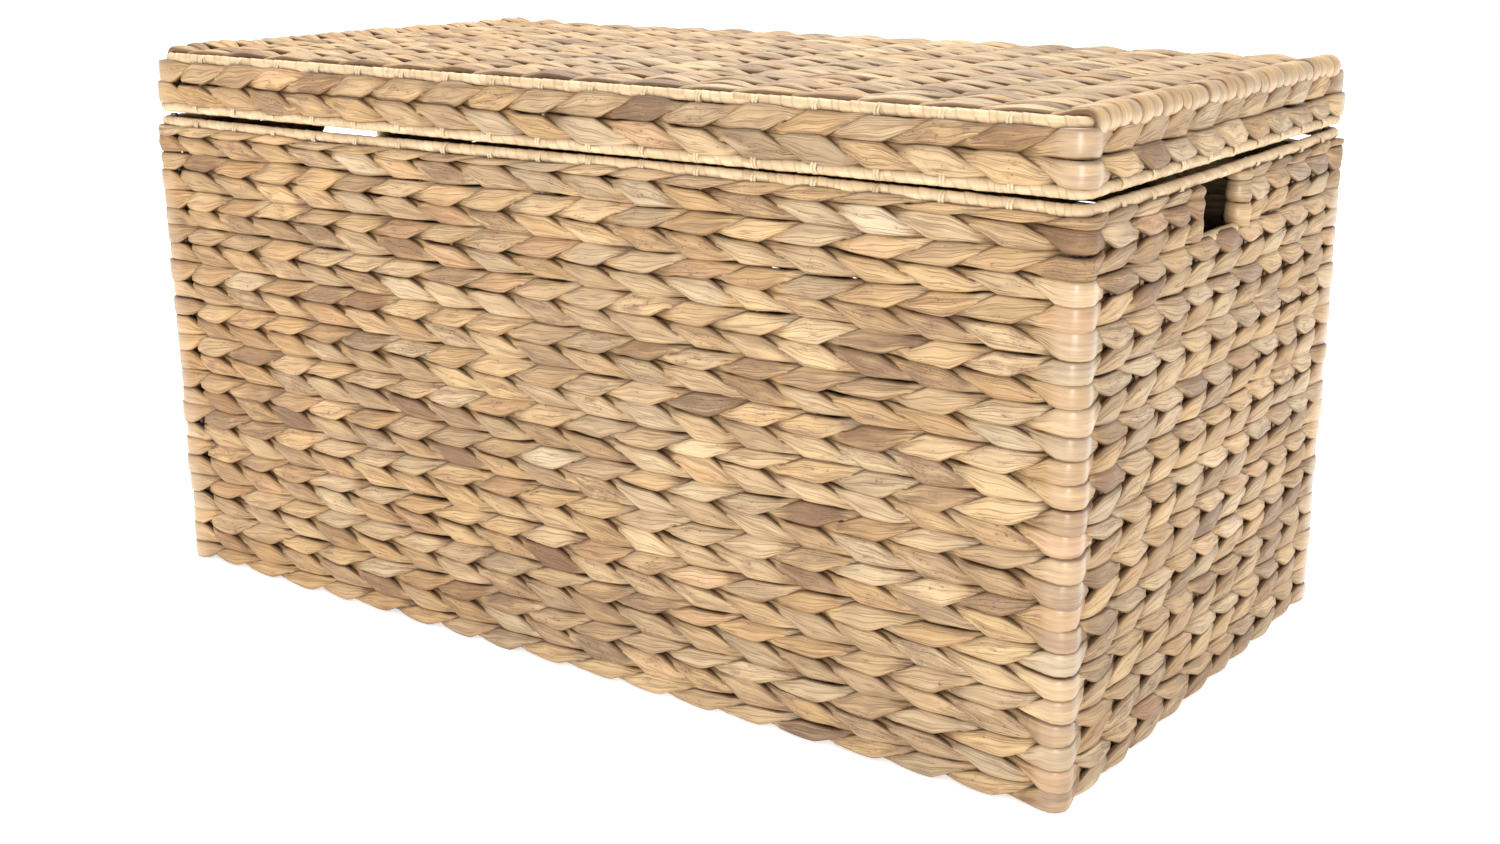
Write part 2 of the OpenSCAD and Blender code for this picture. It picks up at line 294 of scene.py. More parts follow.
@dataclass(frozen=True)
class LeafFinish(Finish):
    """Dried leaf: long fibres, folds, per-leaf tones, brown blotches and reddish specks.

    The leaf attribute holds how pale the leaf is, how blotched, how warm, and how near its edge;
    its edge channel also holds painted shade where the leaf dives under the other one.
    A blotched value below 0 marks leaf that is pressed smooth, as at the corners.
    """

    name: str = "dried_leaf"
    umber: Colour = (0.100, 0.048, 0.021, 1.0)
    brown: Colour = (0.180, 0.094, 0.043, 1.0)
    straw: Colour = (0.396, 0.257, 0.133, 1.0)
    pale: Colour = (0.638, 0.480, 0.296, 1.0)
    ashen: Colour = (0.860, 0.920, 1.000, 1.0)
    plain: Colour = (0.960, 0.955, 0.930, 1.0)
    golden: Colour = (1.000, 0.940, 0.780, 1.0)
    rosy: Colour = (0.980, 0.860, 0.830, 1.0)
    russet: Colour = (0.105, 0.038, 0.022, 1.0)
    honey: Colour = (0.980, 0.900, 0.780, 1.0)
    patchy: float = 0.60
    folded: float = 0.50
    # How far the edges are darkened: the leaves' own brown edges, plus painted shade in the crevices.
    edge_brown_and_shade: float = 0.74
    dotted: float = 0.80
    fibre_pitch: float = 1.9 * MM
    coat: float = 0.8
    coat_roughness: float = 0.36
    coat_ior: float = 1.6
    relief: float = 0.8 * MM

    def paint(self, board: Board) -> None:
        """Reads the Strand map and the leaf attribute.

        Args:
            board: the empty material.
        """
        strand = board.node("ShaderNodeUVMap", {"uv_map": "Strand"}, {})
        attribute = {"attribute_name": "leaf"}
        leaf = board.node("ShaderNodeAttribute", attribute, {}, "Color")
        edge = board.node("ShaderNodeAttribute", attribute, {}, "Alpha")
        tone, dark, warm = (
            board.node("ShaderNodeSeparateColor", {}, {"Color": leaf}, channel)
            for channel in ("Red", "Green", "Blue")
        )
        across = 1.0 / self.fibre_pitch
        fibre = board.noise(strand, (20.0, across, 1.0), 3.0, 0.6)
        thread = board.noise(strand, (60.0, across * 2.7, 1.0), 2.0)
        cloud = board.noise(strand, (34.0, 120.0, 1.0), 3.0)
        blotch = board.noise(strand, (60.0, 190.0, 1.0), 4.0, 0.62)
        speck = board.noise(strand, (400.0, 900.0, 1.0), 2.0)
        crease = board.noise(strand, (14.0, across * 0.62, 1.0), 1.0)
        fold = 1.0 - crease.away(0.5).ease(0.0, 0.030)
        level = tone + (fibre - 0.5) * 0.60 + (thread - 0.5) * 0.30 + (cloud - 0.5) * 0.60
        # Darker towards each leaf's edge: the leaves' own brown edges, plus painted shade in the
        # crevices and at the diving ends.
        base = board.ramp(
            level - edge * 0.12,
            (0.0, self.umber),
            (0.24, self.brown),
            (0.56, self.straw),
            (1.0, self.pale),
        )
        tint = board.ramp(
            warm + (cloud - 0.5) * 0.7,
            (0.0, self.ashen),
            (0.4, self.plain),
            (0.7, self.golden),
            (1.0, self.rosy),
        )
        base = board.mix(1.0, base, tint, "MULTIPLY")
        # Tinted warmer and darker towards the left end, by multiplying with the honey colour.
        toward_left_end = (0.05 - board.spot().axis("X")).ease(0.0, 0.42)
        base = board.mix(toward_left_end, base, board.mix(1.0, base, self.honey, "MULTIPLY"))
        patch = (blotch + dark * 0.34).ease(0.62, 0.86)
        base = board.mix(patch * self.patchy, base, self.brown)
        pressed = (0.0 - dark).ease(0.0, 1.0)
        fold = fold * (1.0 - pressed * 0.7)
        base = board.mix(fold * self.folded, base, self.brown)
        # Edges and diving ends mixed towards umber: brown leaf edges, plus painted shade in the
        # crevices and at the diving ends.
        base = board.mix(edge.ease(0.30, 0.90) * self.edge_brown_and_shade, base, self.umber)
        dots = speck.ease(0.58, 0.66) * (blotch + dark * 0.16).ease(0.55, 0.66)
        base = board.mix(dots * self.dotted, base, self.russet)
        height = fibre * 0.45 + thread * 0.12 + cloud * 0.22 - fold * 0.34 + 0.3
        height = height * (1.0 - pressed * 0.65)
        board.finish(base, 0.42 + fibre * 0.20 - pressed * 0.08, height, self.relief)
        board.feed(board.shader.inputs["Coat Weight"], pressed * self.coat)
        board.shader.inputs["Coat Roughness"].default_value = self.coat_roughness
        board.shader.inputs["Coat IOR"].default_value = self.coat_ior


@dataclass(frozen=True)
class StripFinish(Finish):
    """Pale leaf strip wound on wire: each turn has its own tone and a shaded edge."""

    name: str = "wound_strip"
    tan: Colour = (0.330, 0.210, 0.108, 1.0)
    cream: Colour = (0.560, 0.405, 0.240, 1.0)
    ivory: Colour = (0.800, 0.655, 0.445, 1.0)
    seam: Colour = (0.260, 0.155, 0.075, 1.0)
    seamed: float = 0.20
    relief: float = 0.5 * MM

    def paint(self, board: Board) -> None:
        """Reads turns and metres from the Strand map.

        Args:
            board: the empty material.
        """
        wound = board.node("ShaderNodeUVMap", {"uv_map": "Strand"}, {})
        turns = wound.axis("X")
        turn = turns.whole()
        part = turns - turn
        chance = board.node("ShaderNodeTexWhiteNoise", {"noise_dimensions": "1D"}, {"W": turn})
        own = board.node("ShaderNodeCombineXYZ", {}, {0: turns, 1: wound.axis("Y"), 2: turn})
        grain = board.noise(own, (11.0, 70.0, 1.0), 3.0)
        cloud = board.noise(wound, (0.35, 60.0, 1.0), 2.0)
        seam = 1.0 - part.ease(0.0, 0.16) * (1.0 - part.ease(0.90, 1.0))
        level = chance * 0.28 + grain * 0.45 + cloud * 0.60 - 0.18
        base = board.ramp(level, (0.0, self.tan), (0.5, self.cream), (1.0, self.ivory))
        base = board.mix(seam * self.seamed, base, self.seam)
        height = part.ease(0.0, 0.2) * 0.8 + grain * 0.25
        board.finish(base, 0.52, height, self.relief)


@dataclass(frozen=True)
class CordFinish(Finish):
    """Twisted paper-like cord in a pale tan, seen on the stakes, the ties and the loops."""

    name: str = "twisted_cord"
    shadow: Colour = (0.400, 0.270, 0.150, 1.0)
    light: Colour = (0.760, 0.600, 0.400, 1.0)
    strand_pitch: float = 1.6 * MM
    relief: float = 0.3 * MM

    def paint(self, board: Board) -> None:
        """Reads Object coordinates.

        Args:
            board: the empty material.
        """
        place, size = board.spot(), 1.0 / self.strand_pitch
        ply = board.noise(place, (size,) * 3, 2.0)
        fuzz = board.noise(place, (size * 4,) * 3, 3.0)
        cloud = board.noise(place, (60.0,) * 3, 2.0)
        level = ply * 0.7 + fuzz * 0.3 + cloud * 0.5 - 0.25
        base = board.ramp(level, (0.2, self.shadow), (0.75, self.light))
        board.finish(base, 0.72, ply * 0.7 + fuzz * 0.3, self.relief)


@dataclass(frozen=True)
class WireFinish(Finish):
    """Drawn steel wire under a thin dull coat, with faint drawing marks."""

    name: str = "coated_wire"
    coat: Colour = (0.120, 0.100, 0.085, 1.0)
    worn: Colour = (0.260, 0.225, 0.190, 1.0)
    relief: float = 0.05 * MM

    def paint(self, board: Board) -> None:
        """Reads Object coordinates.

        Args:
            board: the empty material.
        """
        place = board.spot()
        cloud = board.noise(place, (55.0,) * 3, 4.0)
        grit = board.noise(place, (900.0,) * 3, 2.0)
        base = board.mix(cloud.ease(0.45, 0.70), self.coat, self.worn)
        board.shader.inputs["Metallic"].default_value = 0.6
        board.finish(base, 0.45 + cloud * 0.2, grit, self.relief)


# ---- sizes ----


@dataclass(frozen=True)
class TrunkSizes:
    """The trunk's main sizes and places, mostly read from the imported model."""

    half_l: float
    half_d: float
    rim_z: float
    base_z: float
    wall_top: float
    hole_foot: float
    hole_front: float
    hole_back: float
    grip_z: float
    lid_l: float
    lid_d: float
    lid_z: float
    lid_top_z: float
    loop_xs: tuple[float, ...]
    loop_width: float
    courses_below_hole: int = 22
    bend: float = 5.1 * MM
    corners: tuple[int, ...] = (0, LONG_BAYS, LONG_BAYS + END_BAYS, 2 * LONG_BAYS + END_BAYS)

    @property
    def bay(self) -> float:
        """The width of a bay between two stakes, along the front."""
        return 2 * self.half_l / LONG_BAYS

    def away_from_corners(self) -> list[int]:
        """The stakes round the walls that aren't at a corner."""
        return [i for i in range(BAYS_ROUND) if i not in self.corners]

    @staticmethod
    def read() -> "TrunkSizes":
        """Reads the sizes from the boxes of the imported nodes.

        Returns:
            The sizes.
        """
        rim_low, rim_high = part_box("rim_rail")
        top_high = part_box("lid_top_rail")[1]
        loops = [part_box(f"hinge_loop_{i}") for i in range(1, 5)]
        rod = (rim_high[2] - rim_low[2]) / 2
        rim_z, base_z, lid_z, lid_top_z, grip_z = (
            (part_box(name)[0][2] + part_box(name)[1][2]) / 2
            for name in ("rim_rail", "base_rail", "lid_lower_rail", "lid_top_rail", "right_grip_bar")
        )
        return TrunkSizes(
            half_l=rim_high[0] - rod,
            half_d=rim_high[1] - rod,
            rim_z=rim_z,
            base_z=base_z,
            wall_top=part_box("front_weave")[1][2],
            hole_foot=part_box("right_weave")[1][2],
            hole_front=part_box("right_weave_front")[1][1],
            hole_back=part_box("right_weave_back")[0][1],
            grip_z=grip_z,
            lid_l=top_high[0] - rod,
            lid_d=top_high[1] - rod,
            lid_z=lid_z,
            lid_top_z=lid_top_z,
            loop_xs=tuple((low[0] + high[0]) / 2 for low, high in loops),
            loop_width=loops[0][1][0] - loops[0][0][0],
        )


# ---- meshes ----


@dataclass
class Skin:
    """A swept tube: a grid of rings, with its map and what the leaf attribute says there."""

    points: np.ndarray
    strand: np.ndarray
    leaf: np.ndarray
    closed: bool

    def rings(self) -> int:
        """How many rings the tube has."""
        return self.points.shape[0]


def smooth(share: np.ndarray) -> np.ndarray:
    """Eases a number from 0 to 1, flat at both ends."""
    share = np.clip(share, 0.0, 1.0)
    return share * share * (3.0 - 2.0 * share)


def unit(vectors: np.ndarray) -> np.ndarray:
    """Scales rows to length 1."""
    return vectors / np.linalg.norm(vectors, axis=-1, keepdims=True)


def tangents(points: np.ndarray, closed: bool) -> np.ndarray:
    """Directions along a path.

    Args:
        points: the path's points, one a row.
        closed: True for a path that joins its own start.

    Returns:
        Unit directions, one a row.
    """
    if closed:
        return unit(np.roll(points, -1, axis=0) - np.roll(points, 1, axis=0))
    return unit(np.gradient(points, axis=0))


def lengths(points: np.ndarray) -> np.ndarray:
    """Lengths from a path's start to each of its points, and back to the start at the end."""
    steps = np.linalg.norm(np.roll(points, -1, axis=0) - points, axis=1)
    return np.concatenate([[0.0], np.cumsum(steps)])


@dataclass
class MeshMaker:
    """Joins swept tubes into one mesh object with its maps and its material. The baked map is
    cut into rows of at most row_rings rings, with a margin between rows."""

    name: str
    material: bpy.types.Material
    skins: list[Skin] = field(default_factory=list)
    row_rings: int = 140
    margin: float = 0.04

    def add(self, *skins: Skin) -> None:
        """Adds tubes to the piece."""
        self.skins += skins

    def _faces(self, skin: Skin) -> tuple[np.ndarray, np.ndarray, np.ndarray]:
        """Numbers a tube's four-sided faces.

        Args:
            skin: the tube.

        Returns:
            Corner numbers, and the ring and the round step of each corner, unwrapped.
        """
        count, around = skin.points.shape[:2]
        last = count if skin.closed else count - 1
        ring, step = np.meshgrid(np.arange(last), np.arange(around), indexing="ij")
        ring, step = ring.ravel(), step.ravel()
        rings = np.stack([ring, ring + 1, ring + 1, ring], axis=1)
        steps = np.stack([step, step, step + 1, step + 1], axis=1)
        return (rings % count) * around + steps % around, rings, steps

    def _caps(self, skin: Skin) -> list[list[int]]:
        """The two end faces of an open tube."""
        count, around = skin.points.shape[:2]
        return [list(range(around))[::-1], list(range((count - 1) * around, count * around))]

    def make(self, body: Body, slot: str, replaces: Sequence[str]) -> None:
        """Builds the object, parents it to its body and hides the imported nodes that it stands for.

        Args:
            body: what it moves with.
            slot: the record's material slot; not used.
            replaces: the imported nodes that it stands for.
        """
        rows = sum(-(-s.rings() // self.row_rings) for s in self.skins)
        verts, faces, strand, bake, leaf, polys = [], [], [], [], [], []
        base, row = 0, 0
        for skin in self.skins:
            corners, rings, steps = self._faces(skin)
            around = skin.points.shape[1]
            chunk = rings[:, :1] // self.row_rings
            across = (rings - chunk * self.row_rings) / self.row_rings
            up = self.margin + (1 - 2 * self.margin) * steps / around
            bake.append(np.stack([across, (row + chunk + up) / rows], axis=-1).reshape(-1, 2))
            strand.append(skin.strand[rings, steps].reshape(-1, 2))
            verts.append(skin.points.reshape(-1, 3))
            leaf.append(skin.leaf.reshape(-1, 4))
            faces.append(corners + base)
            if not skin.closed:
                polys += [[i + base for i in cap] for cap in self._caps(skin)]
            base += skin.points.shape[0] * around
            row += int(-(-skin.rings() // self.row_rings))
        points = np.concatenate(verts)
        quads = np.concatenate(faces)
        loops = np.concatenate([quads.ravel(), np.array(sum(polys, []), dtype=int)])
        sizes = np.array([4] * len(quads) + [len(p) for p in polys])
        mesh = bpy.data.meshes.new(self.name)
        mesh.vertices.add(len(points))
        mesh.vertices.foreach_set("co", points.ravel())
        mesh.loops.add(len(loops))
        mesh.loops.foreach_set("vertex_index", loops.astype(np.int32))
        mesh.polygons.add(len(sizes))
        starts = np.concatenate([[0], np.cumsum(sizes)[:-1]])
        mesh.polygons.foreach_set("loop_start", starts.astype(np.int32))
        mesh.update(calc_edges=True)
        mesh.polygons.foreach_set("use_smooth", np.ones(len(sizes), dtype=bool))
        spare = np.zeros((len(loops) - 4 * len(quads), 2))
        for name, parts in (("Strand", strand), ("OFBake", bake)):
            layer = mesh.uv_layers.new(name=name)
            layer.data.foreach_set("uv", np.concatenate([*parts, spare]).ravel())
        tint = mesh.color_attributes.new("leaf", "FLOAT_COLOR", "POINT")
        tint.data.foreach_set("color", np.concatenate(leaf).ravel())
        mesh.validate()
        mesh.materials.append(self.material)
        piece = bpy.data.objects.new(self.name, mesh)
        bpy.context.scene.collection.objects.link(piece)
        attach(piece, body.value)
        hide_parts(*replaces)
        log.info("%s: %d faces", self.name, len(sizes))


# ---- where leaves run ----


@dataclass(frozen=True)
class WallPath:
    """The way round the four walls. One unit of t is one bay between stakes, and t is 0 at the
    front left corner, rising to the right along the front."""

    half_l: float
    half_d: float
    bend: float
    tight: float = 1.2 * MM

    def ground(self, t: np.ndarray, out: np.ndarray) -> tuple[np.ndarray, np.ndarray]:
        """Places points on the walls' plan.

        Args:
            t: how far round, in bays.
            out: how far out from the rails' middle, in metres.

        Returns:
            The points and the outward directions, one (x, y, z) a row with z 0.
        """
        t, out = np.broadcast_arrays(np.mod(t, BAYS_ROUND), out)
        starts = np.cumsum([0, LONG_BAYS, END_BAYS, LONG_BAYS])
        side = np.searchsorted(starts, t, side="right") - 1
        is_long = side % 2 == 0
        count = np.where(is_long, LONG_BAYS, END_BAYS)
        run = np.where(is_long, self.half_l, self.half_d)
        plane = np.where(is_long, self.half_d, self.half_l)
        step = t - starts[side]
        bay = 2 * run / count
        radius = np.maximum(out + self.bend, self.tight)
        quarter = radius * math.pi / 4
        is_end = step > count - 1
        near = np.where(is_end, count - step, step)
        arc = near * (quarter + bay - (radius - out))
        swing = np.where((near < 1) & (arc < quarter), math.pi / 4 - arc / radius, 0.0)
        corner = -(run + out - radius)
        along = np.where(arc < quarter, corner - radius * np.sin(swing), corner + arc - quarter)
        along = np.where(is_end, -along, along)
        lean = np.where(is_end, np.sin(swing), -np.sin(swing))
        inside = (step >= 1) & (step <= count - 1)
        along = np.where(inside, bay * step - run, along)
        away = plane + out - radius + radius * np.cos(swing)
        lean, straight = np.where(inside, 0.0, lean), np.where(inside, 1.0, np.cos(swing))
        flat = np.zeros_like(along)
        spot = [np.choose(side, [along, away, -along, -away]),
                np.choose(side, [-away, along, away, -along]), flat]
        face = [np.choose(side, [lean, straight, -lean, -straight]),
                np.choose(side, [-straight, lean, straight, -lean]), flat]
        return np.stack(spot, axis=-1), np.stack(face, axis=-1)


@dataclass(frozen=True)
class PanelPath:
    """The way across a flat panel, from its left end rail (t 0) to its right end rail."""

    reach: float
    bay: float
    y: float
    z: float
    crown: float
    half_d: float

    def ground(self, t: np.ndarray, out: np.ndarray) -> tuple[np.ndarray, np.ndarray]:
        """Places points on the panel.

        Args:
            t: how far across, in bays.
            out: how far up from the panel's middle, in metres.

        Returns:
            The points and the outward directions, one (x, y, z) a row.
        """
        t, out = np.broadcast_arrays(np.asarray(t, dtype=float), out)
        x = np.clip((t - LONG_BAYS / 2) * self.bay, -self.reach, self.reach)
        share = (1 - (x / self.reach) ** 2) * (1 - (self.y / self.half_d) ** 4)
        z = self.z + self.crown * share + out
        spot = np.stack([x, np.full_like(x, self.y), z], axis=-1)
        return spot, np.broadcast_to(UP, spot.shape)


@dataclass(frozen=True)
class CourseLines:
    """The slightly wavy lines where one course of leaf meets the next."""

    feet: tuple[float, ...]
    period: int
    sway: float
    seed: int
    sink: Callable[[int, np.ndarray], np.ndarray] | None = None

    def line(self, number: int, t: np.ndarray) -> np.ndarray:
        """The height of one line.

        Args:
            number: which line, from 0 at the foot.
            t: how far round, in bays.

        Returns:
            The heights.
        """
        rng = np.random.default_rng(self.seed + number)
        wave = np.zeros_like(t, dtype=float)
        for turns in (3, 5, 8, 13, 21):
            wave += rng.uniform(0.3, 1.0) * np.sin(
                2 * math.pi * (turns * t / self.period + rng.uniform())
            )
        held = min(1.0, number / 2.0)
        height = self.feet[number] + self.sway * 0.45 * held * wave
        if self.sink is not None:
            height = height - self.sink(number, t)
        return height

    def pair(self, number: int, middle: float = 0.0) -> tuple[LineOf, LineOf]:
        """The lower and the upper line of a course, as heights above a middle."""
        return (
            lambda t: self.line(number, t) - middle,
            lambda t: self.line(number + 1, t) - middle,
        )


# ---- the twining ----


@dataclass(frozen=True)
class LeafShape:
    """How a leaf is flattened over a stake, squeezed where two leaves cross, pressed smooth at a
    corner and rounded where it turns back, and how much painted shade darkens it where it dives
    under the other leaf."""

    half_depth: float = 2.7 * MM
    squeeze: float = 2.1 * MM
    sweep: float = 3.6 * MM
    corner_sweep: float = 6.7 * MM
    corner_shift: float = -1.9 * MM
    post_sweep: float = 5.0 * MM
    overlap: float = 1.13
    taper: float = 0.11
    open_until: float = 0.23
    corner_open: float = 0.52
    slant: float = 1.05
    flatness: float = 0.55
    corner_flatness: float = 0.30
    turn_flatness: float = 0.95
    press: float = 1.45
    press_fade: float = 3.2
    press_tone: float = 0.50
    fullness: float = 0.92
    creases: float = 0.30 * MM
    ridges: float = 0.34 * MM
    wander: float = 0.05
    # Painted shade where a leaf dives under the other one.
    dusk: float = 0.42
    rings_per_bay: int = 10
    around: int = 16
    turn_rings: int = 8
    turn_pinch: float = 0.08
    turn_smooth: float = 0.95
    turn_tone: float = 0.34
    turn_pressed: float = 0.7
    map_round: float = 38 * MM


@dataclass
class LeafChances:
    """The chance differences between one leaf and the next, drawn once a strand. Height is a
    share, lift, depth and fat are metres, and crease and ridge turn the creases round the leaf."""

    rng: np.random.Generator
    count: int
    around: float = 6.28
    values: dict[str, np.ndarray] = field(default_factory=dict)

    def __post_init__(self) -> None:
        """Draws the values."""
        n, rng = self.count, self.rng
        dark = (rng.random(n) < 0.10).astype(float)
        self.values = {
            "height": rng.uniform(0.86, 1.07, n),
            "lift": rng.uniform(-0.8, 0.8, n) * MM,
            "depth": rng.uniform(-0.7, 0.8, n) * MM,
            "fat": rng.uniform(-0.35, 0.45, n) * MM,
            "tone": np.clip(rng.normal(0.62, 0.09, n) - 0.20 * dark, 0.05, 0.95),
            "dark": np.clip(rng.normal(0.25, 0.25, n) + 0.45 * dark, 0.0, 1.0),
            "warm": np.clip(rng.normal(0.42, 0.22, n), 0.0, 1.0),
            "crease": rng.uniform(0.0, self.around, n),
            "ridge": rng.uniform(0.0, self.around, n),
        }

    def at(self, name: str, station: np.ndarray) -> np.ndarray:
        """One value along a strand, which changes where leaves cross.

        Args:
            name: the value's name.
            station: how far along, in stakes.

        Returns:
            The value at each place.
        """
        low = np.floor(station).astype(int)
        share = smooth((station - low - 0.35) / 0.3)
        value = self.values[name]
        return value[low % self.count] * (1 - share) + value[(low + 1) % self.count] * share


@dataclass
class Twining:
    """One course of two leaves twined round the stakes, as closed tubes."""

    path: Any
    lines: tuple[LineOf, LineOf]
    lean: Lean
    seed: int
    width: np.ndarray
    shape: LeafShape = LeafShape()
    corners: tuple[int, ...] = ()

    def _corner_gap(self, t: np.ndarray) -> np.ndarray:
        """How far the nearest corner is, in bays, or 1 where none is near."""
        gap = np.ones_like(t)
        for corner in self.corners:
            round_way = np.mod(t - corner + BAYS_ROUND // 2, BAYS_ROUND) - BAYS_ROUND // 2
            gap = np.minimum(gap, np.abs(round_way))
        return gap

    def _sweep(self, t: np.ndarray, at_end: Any) -> tuple[np.ndarray, np.ndarray]:
        """How far the leaves swing in and out, and about where.

        Args:
            t: how far round, in bays.
            at_end: how near the run's end posts, from 0 to 1.

        Returns:
            The swing and the middle of the swing.
        """
        shape = self.shape
        near = smooth(1 - self._corner_gap(t))
        swing = shape.sweep + (shape.corner_sweep - shape.sweep) * near
        return swing * (1 - at_end) + shape.post_sweep * at_end, shape.corner_shift * near

    def _wander(self, station: np.ndarray) -> np.ndarray:
        """How far the crossings have slid along the course, in stakes."""
        rng = np.random.default_rng(self.seed + 5)
        slide = np.zeros_like(station)
        for turns in (5, 9, 14, 19):
            slide += np.sin(2 * math.pi * (turns * station / BAYS_ROUND + rng.uniform()))
        return self.shape.wander * 0.6 * slide

    def _rings(
        self, t: np.ndarray, station: np.ndarray, strand: int, chance: LeafChances, at_end: Any
    ) -> dict[str, np.ndarray]:
        """Works out a strand's rings along a run of stakes.

        Args:
            t: how far round, in bays.
            station: the same places counted in stakes.
            strand: which of the two leaves.
            chance: the leaf's chance differences.
            at_end: how near the run's end posts, from 0 to 1.

        Returns:
            Named arrays with one value a ring: t, station and the forms.
        """
        shape = self.shape
        moved = station + self._wander(station) * (1 - at_end)
        phase = math.pi * (moved + strand)
        turn = np.abs(moved - np.round(moved)) * 2
        at_corner = np.isin(np.round(t) % BAYS_ROUND, self.corners)
        wide = np.where(at_corner, shape.corner_open, shape.open_until)
        late = np.clip((turn - wide) / (1 - wide), 0, 1)
        fill = 1 - late**shape.slant
        swing, middle = self._sweep(t, at_end)
        low, high = (line(t) for line in self.lines)
        half = (high - low) / 2 * shape.overlap
        narrow = shape.taper * turn ** np.where(at_corner, 5, 2)
        half = half * (1 - narrow) * chance.at("height", station)
        side = -self.lean.value * np.sign(np.sin(phase + 1e-9))
        out = middle + swing * np.cos(phase) + chance.at("depth", station) * np.cos(phase) ** 2
        return {
            "t": t,
            "out": out,
            "station": station,
            "depth": shape.half_depth + shape.squeeze * turn**3 + chance.at("fat", station),
            "height": half * (1 + fill) / 2,
            "lift": (low + high) / 2 + side * half * (1 - fill) / 2 + chance.at("lift", station),
            "flat": np.full_like(t, shape.flatness),
            "creased": np.ones_like(t),
            # Painted shade where the leaf dives under the other one, with none at the corners.
            "dusk": np.where(at_corner, 0.0, shape.dusk * smooth((turn - 0.60) / 0.40)),
        }

    def _skin(self, rows: dict[str, np.ndarray], centre: np.ndarray, chances: Any) -> Skin:
        """Wraps rings round a centre line.

        Args:
            rows: the rings' forms.
            centre: the closed centre line, without the lift.
            chances: the leaf's values at each ring.

        Returns:
            The tube.
        """
        shape = self.shape
        path = tangents(centre, closed=True)
        out = unit(np.cross(path, self.width))
        angle = np.linspace(0, 2 * math.pi, shape.around, endpoint=False)
        cos, sin = np.cos(angle), np.sin(angle)
        flat = np.sign(cos) * np.abs(cos) ** rows["flat"][:, None]
        tall = np.sign(sin) * np.abs(sin) ** shape.fullness
        crease = shape.creases * np.cos(5 * angle + chances["crease"][:, None])
        crease += shape.ridges * np.cos(3 * angle + chances["ridge"][:, None])
        crease = crease * rows["creased"][:, None]
        depth = rows["depth"][:, None] * flat + crease * np.abs(cos)
        rise = rows["lift"][:, None] + rows["height"][:, None] * tall
        points = centre[:, None] + out[:, None] * depth[..., None] + self.width * rise[..., None]
        along = lengths(centre)
        start = np.random.default_rng(self.seed).uniform(0, 40)
        around = np.arange(shape.around + 1) / shape.around * shape.map_round
        strand = np.stack(np.broadcast_arrays(along[:, None] + start, around[None, :]), axis=-1)
        # The edge channel: nearness to the leaf's edge (brown edge plus painted crevice shade), or the
        # painted shade at a diving end, whichever is greater.
        edge = np.maximum(np.abs(sin)[None, :] ** 6, rows["dusk"][:, None])
        leaf = [np.broadcast_to(chances[k][:, None], depth.shape) for k in ("tone", "dark", "warm")]
        return Skin(points, strand, np.stack([*leaf, edge], axis=-1), closed=True)

    def round_course(self) -> list[Skin]:
        """A course that runs all the way round the walls.

        Returns:
            Its two leaves.
        """
        shape = self.shape
        t = np.arange(BAYS_ROUND * shape.rings_per_bay) / shape.rings_per_bay
        skins = []
        for strand in (0, 1):
            chance = LeafChances(np.random.default_rng(self.seed * 7 + strand), BAYS_ROUND)
            rows = self._rings(t, t, strand, chance, 0.0)
            centre, _ = self.path.ground(t, rows["out"])
            chances = {k: chance.at(k, t) for k in CHANCES}
            pressed = smooth(shape.press - shape.press_fade * self._corner_gap(t))
            chances["dark"] = chances["dark"] * (1 - pressed) - pressed
            chances["tone"] = chances["tone"] * (1 - pressed * 0.5) + shape.press_tone * pressed * 0.5
            rows["creased"] = 1 - pressed
            rows["flat"] = rows["flat"] * (1 - pressed) + shape.corner_flatness * pressed
            skins.append(self._skin(rows, centre, chances))
        return skins

    def end_to_end(self, stops: Sequence[float], end_out: float = 0.0) -> list[Skin]:
        """A course that turns back round a rod or a rail at each end.

        Args:
            stops: the places of the stakes, in bays, from one end rod to the other.
            end_out: the end rods' place, out from the path's middle.

        Returns:
            Both leaves, as one closed tube.
        """
        shape = self.shape
        stops = np.asarray(stops, dtype=float)
        last = len(stops) - 1
        grid = [0.0]
        for i in range(last):
            rings = max(5, round(shape.rings_per_bay * min(1.0, stops[i + 1] - stops[i])))
            grid += list(i + np.arange(1, rings + 1) / rings)
        station = np.array(grid)
        t = np.interp(station, np.arange(last + 1), stops)
        at_end = smooth(1 - np.minimum(station, last - station))
        rng = np.random.default_rng(self.seed * 7 + 3)
        chance = [LeafChances(rng, last + 2), LeafChances(rng, last + 2)]
        going = self._rings(t, station, 0, chance[0], at_end)
        coming = self._rings(t[::-1], station[::-1], 1, chance[1], at_end[::-1])
        swing = np.arange(1, shape.turn_rings + 1) / (shape.turn_rings + 1) * math.pi
        parts = []
        for k, run in enumerate((going, coming)):
            centre, _ = self.path.ground(run["t"], run["out"])
            run.update({n: chance[k].at(n, run["station"]) for n in CHANCES})
            parts.append((centre, run))
            rod, face = self.path.ground(run["t"][-1:], np.array([end_out]))
            ahead = unit(np.cross(self.width, face[0])) * (1 if k == 0 else -1)
            other = coming if k == 0 else going
            first, second = run["out"][-1] - end_out, other["out"][0] - end_out
            share = smooth(swing / math.pi)
            radius = np.abs(first) * (1 - share) + np.abs(second) * share
            outward = face[0] * math.copysign(1.0, first) * (radius * np.cos(swing))[:, None]
            bend = rod[0] + outward + ahead * (radius * np.sin(swing))[:, None]
            after = {n: other[n][0] for n in FORMS}
            after.update({n: chance[1 - k].at(n, other["station"][:1])[0] for n in CHANCES})
            fade = {n: run[n][-1] * (1 - share) + after[n] * share for n in FORMS + CHANCES}
            bulge = np.sin(swing)
            fade["height"] = fade["height"] * (1 - shape.turn_pinch * bulge)
            fade["depth"] = fade["depth"] * (1 + shape.turn_pinch * bulge)
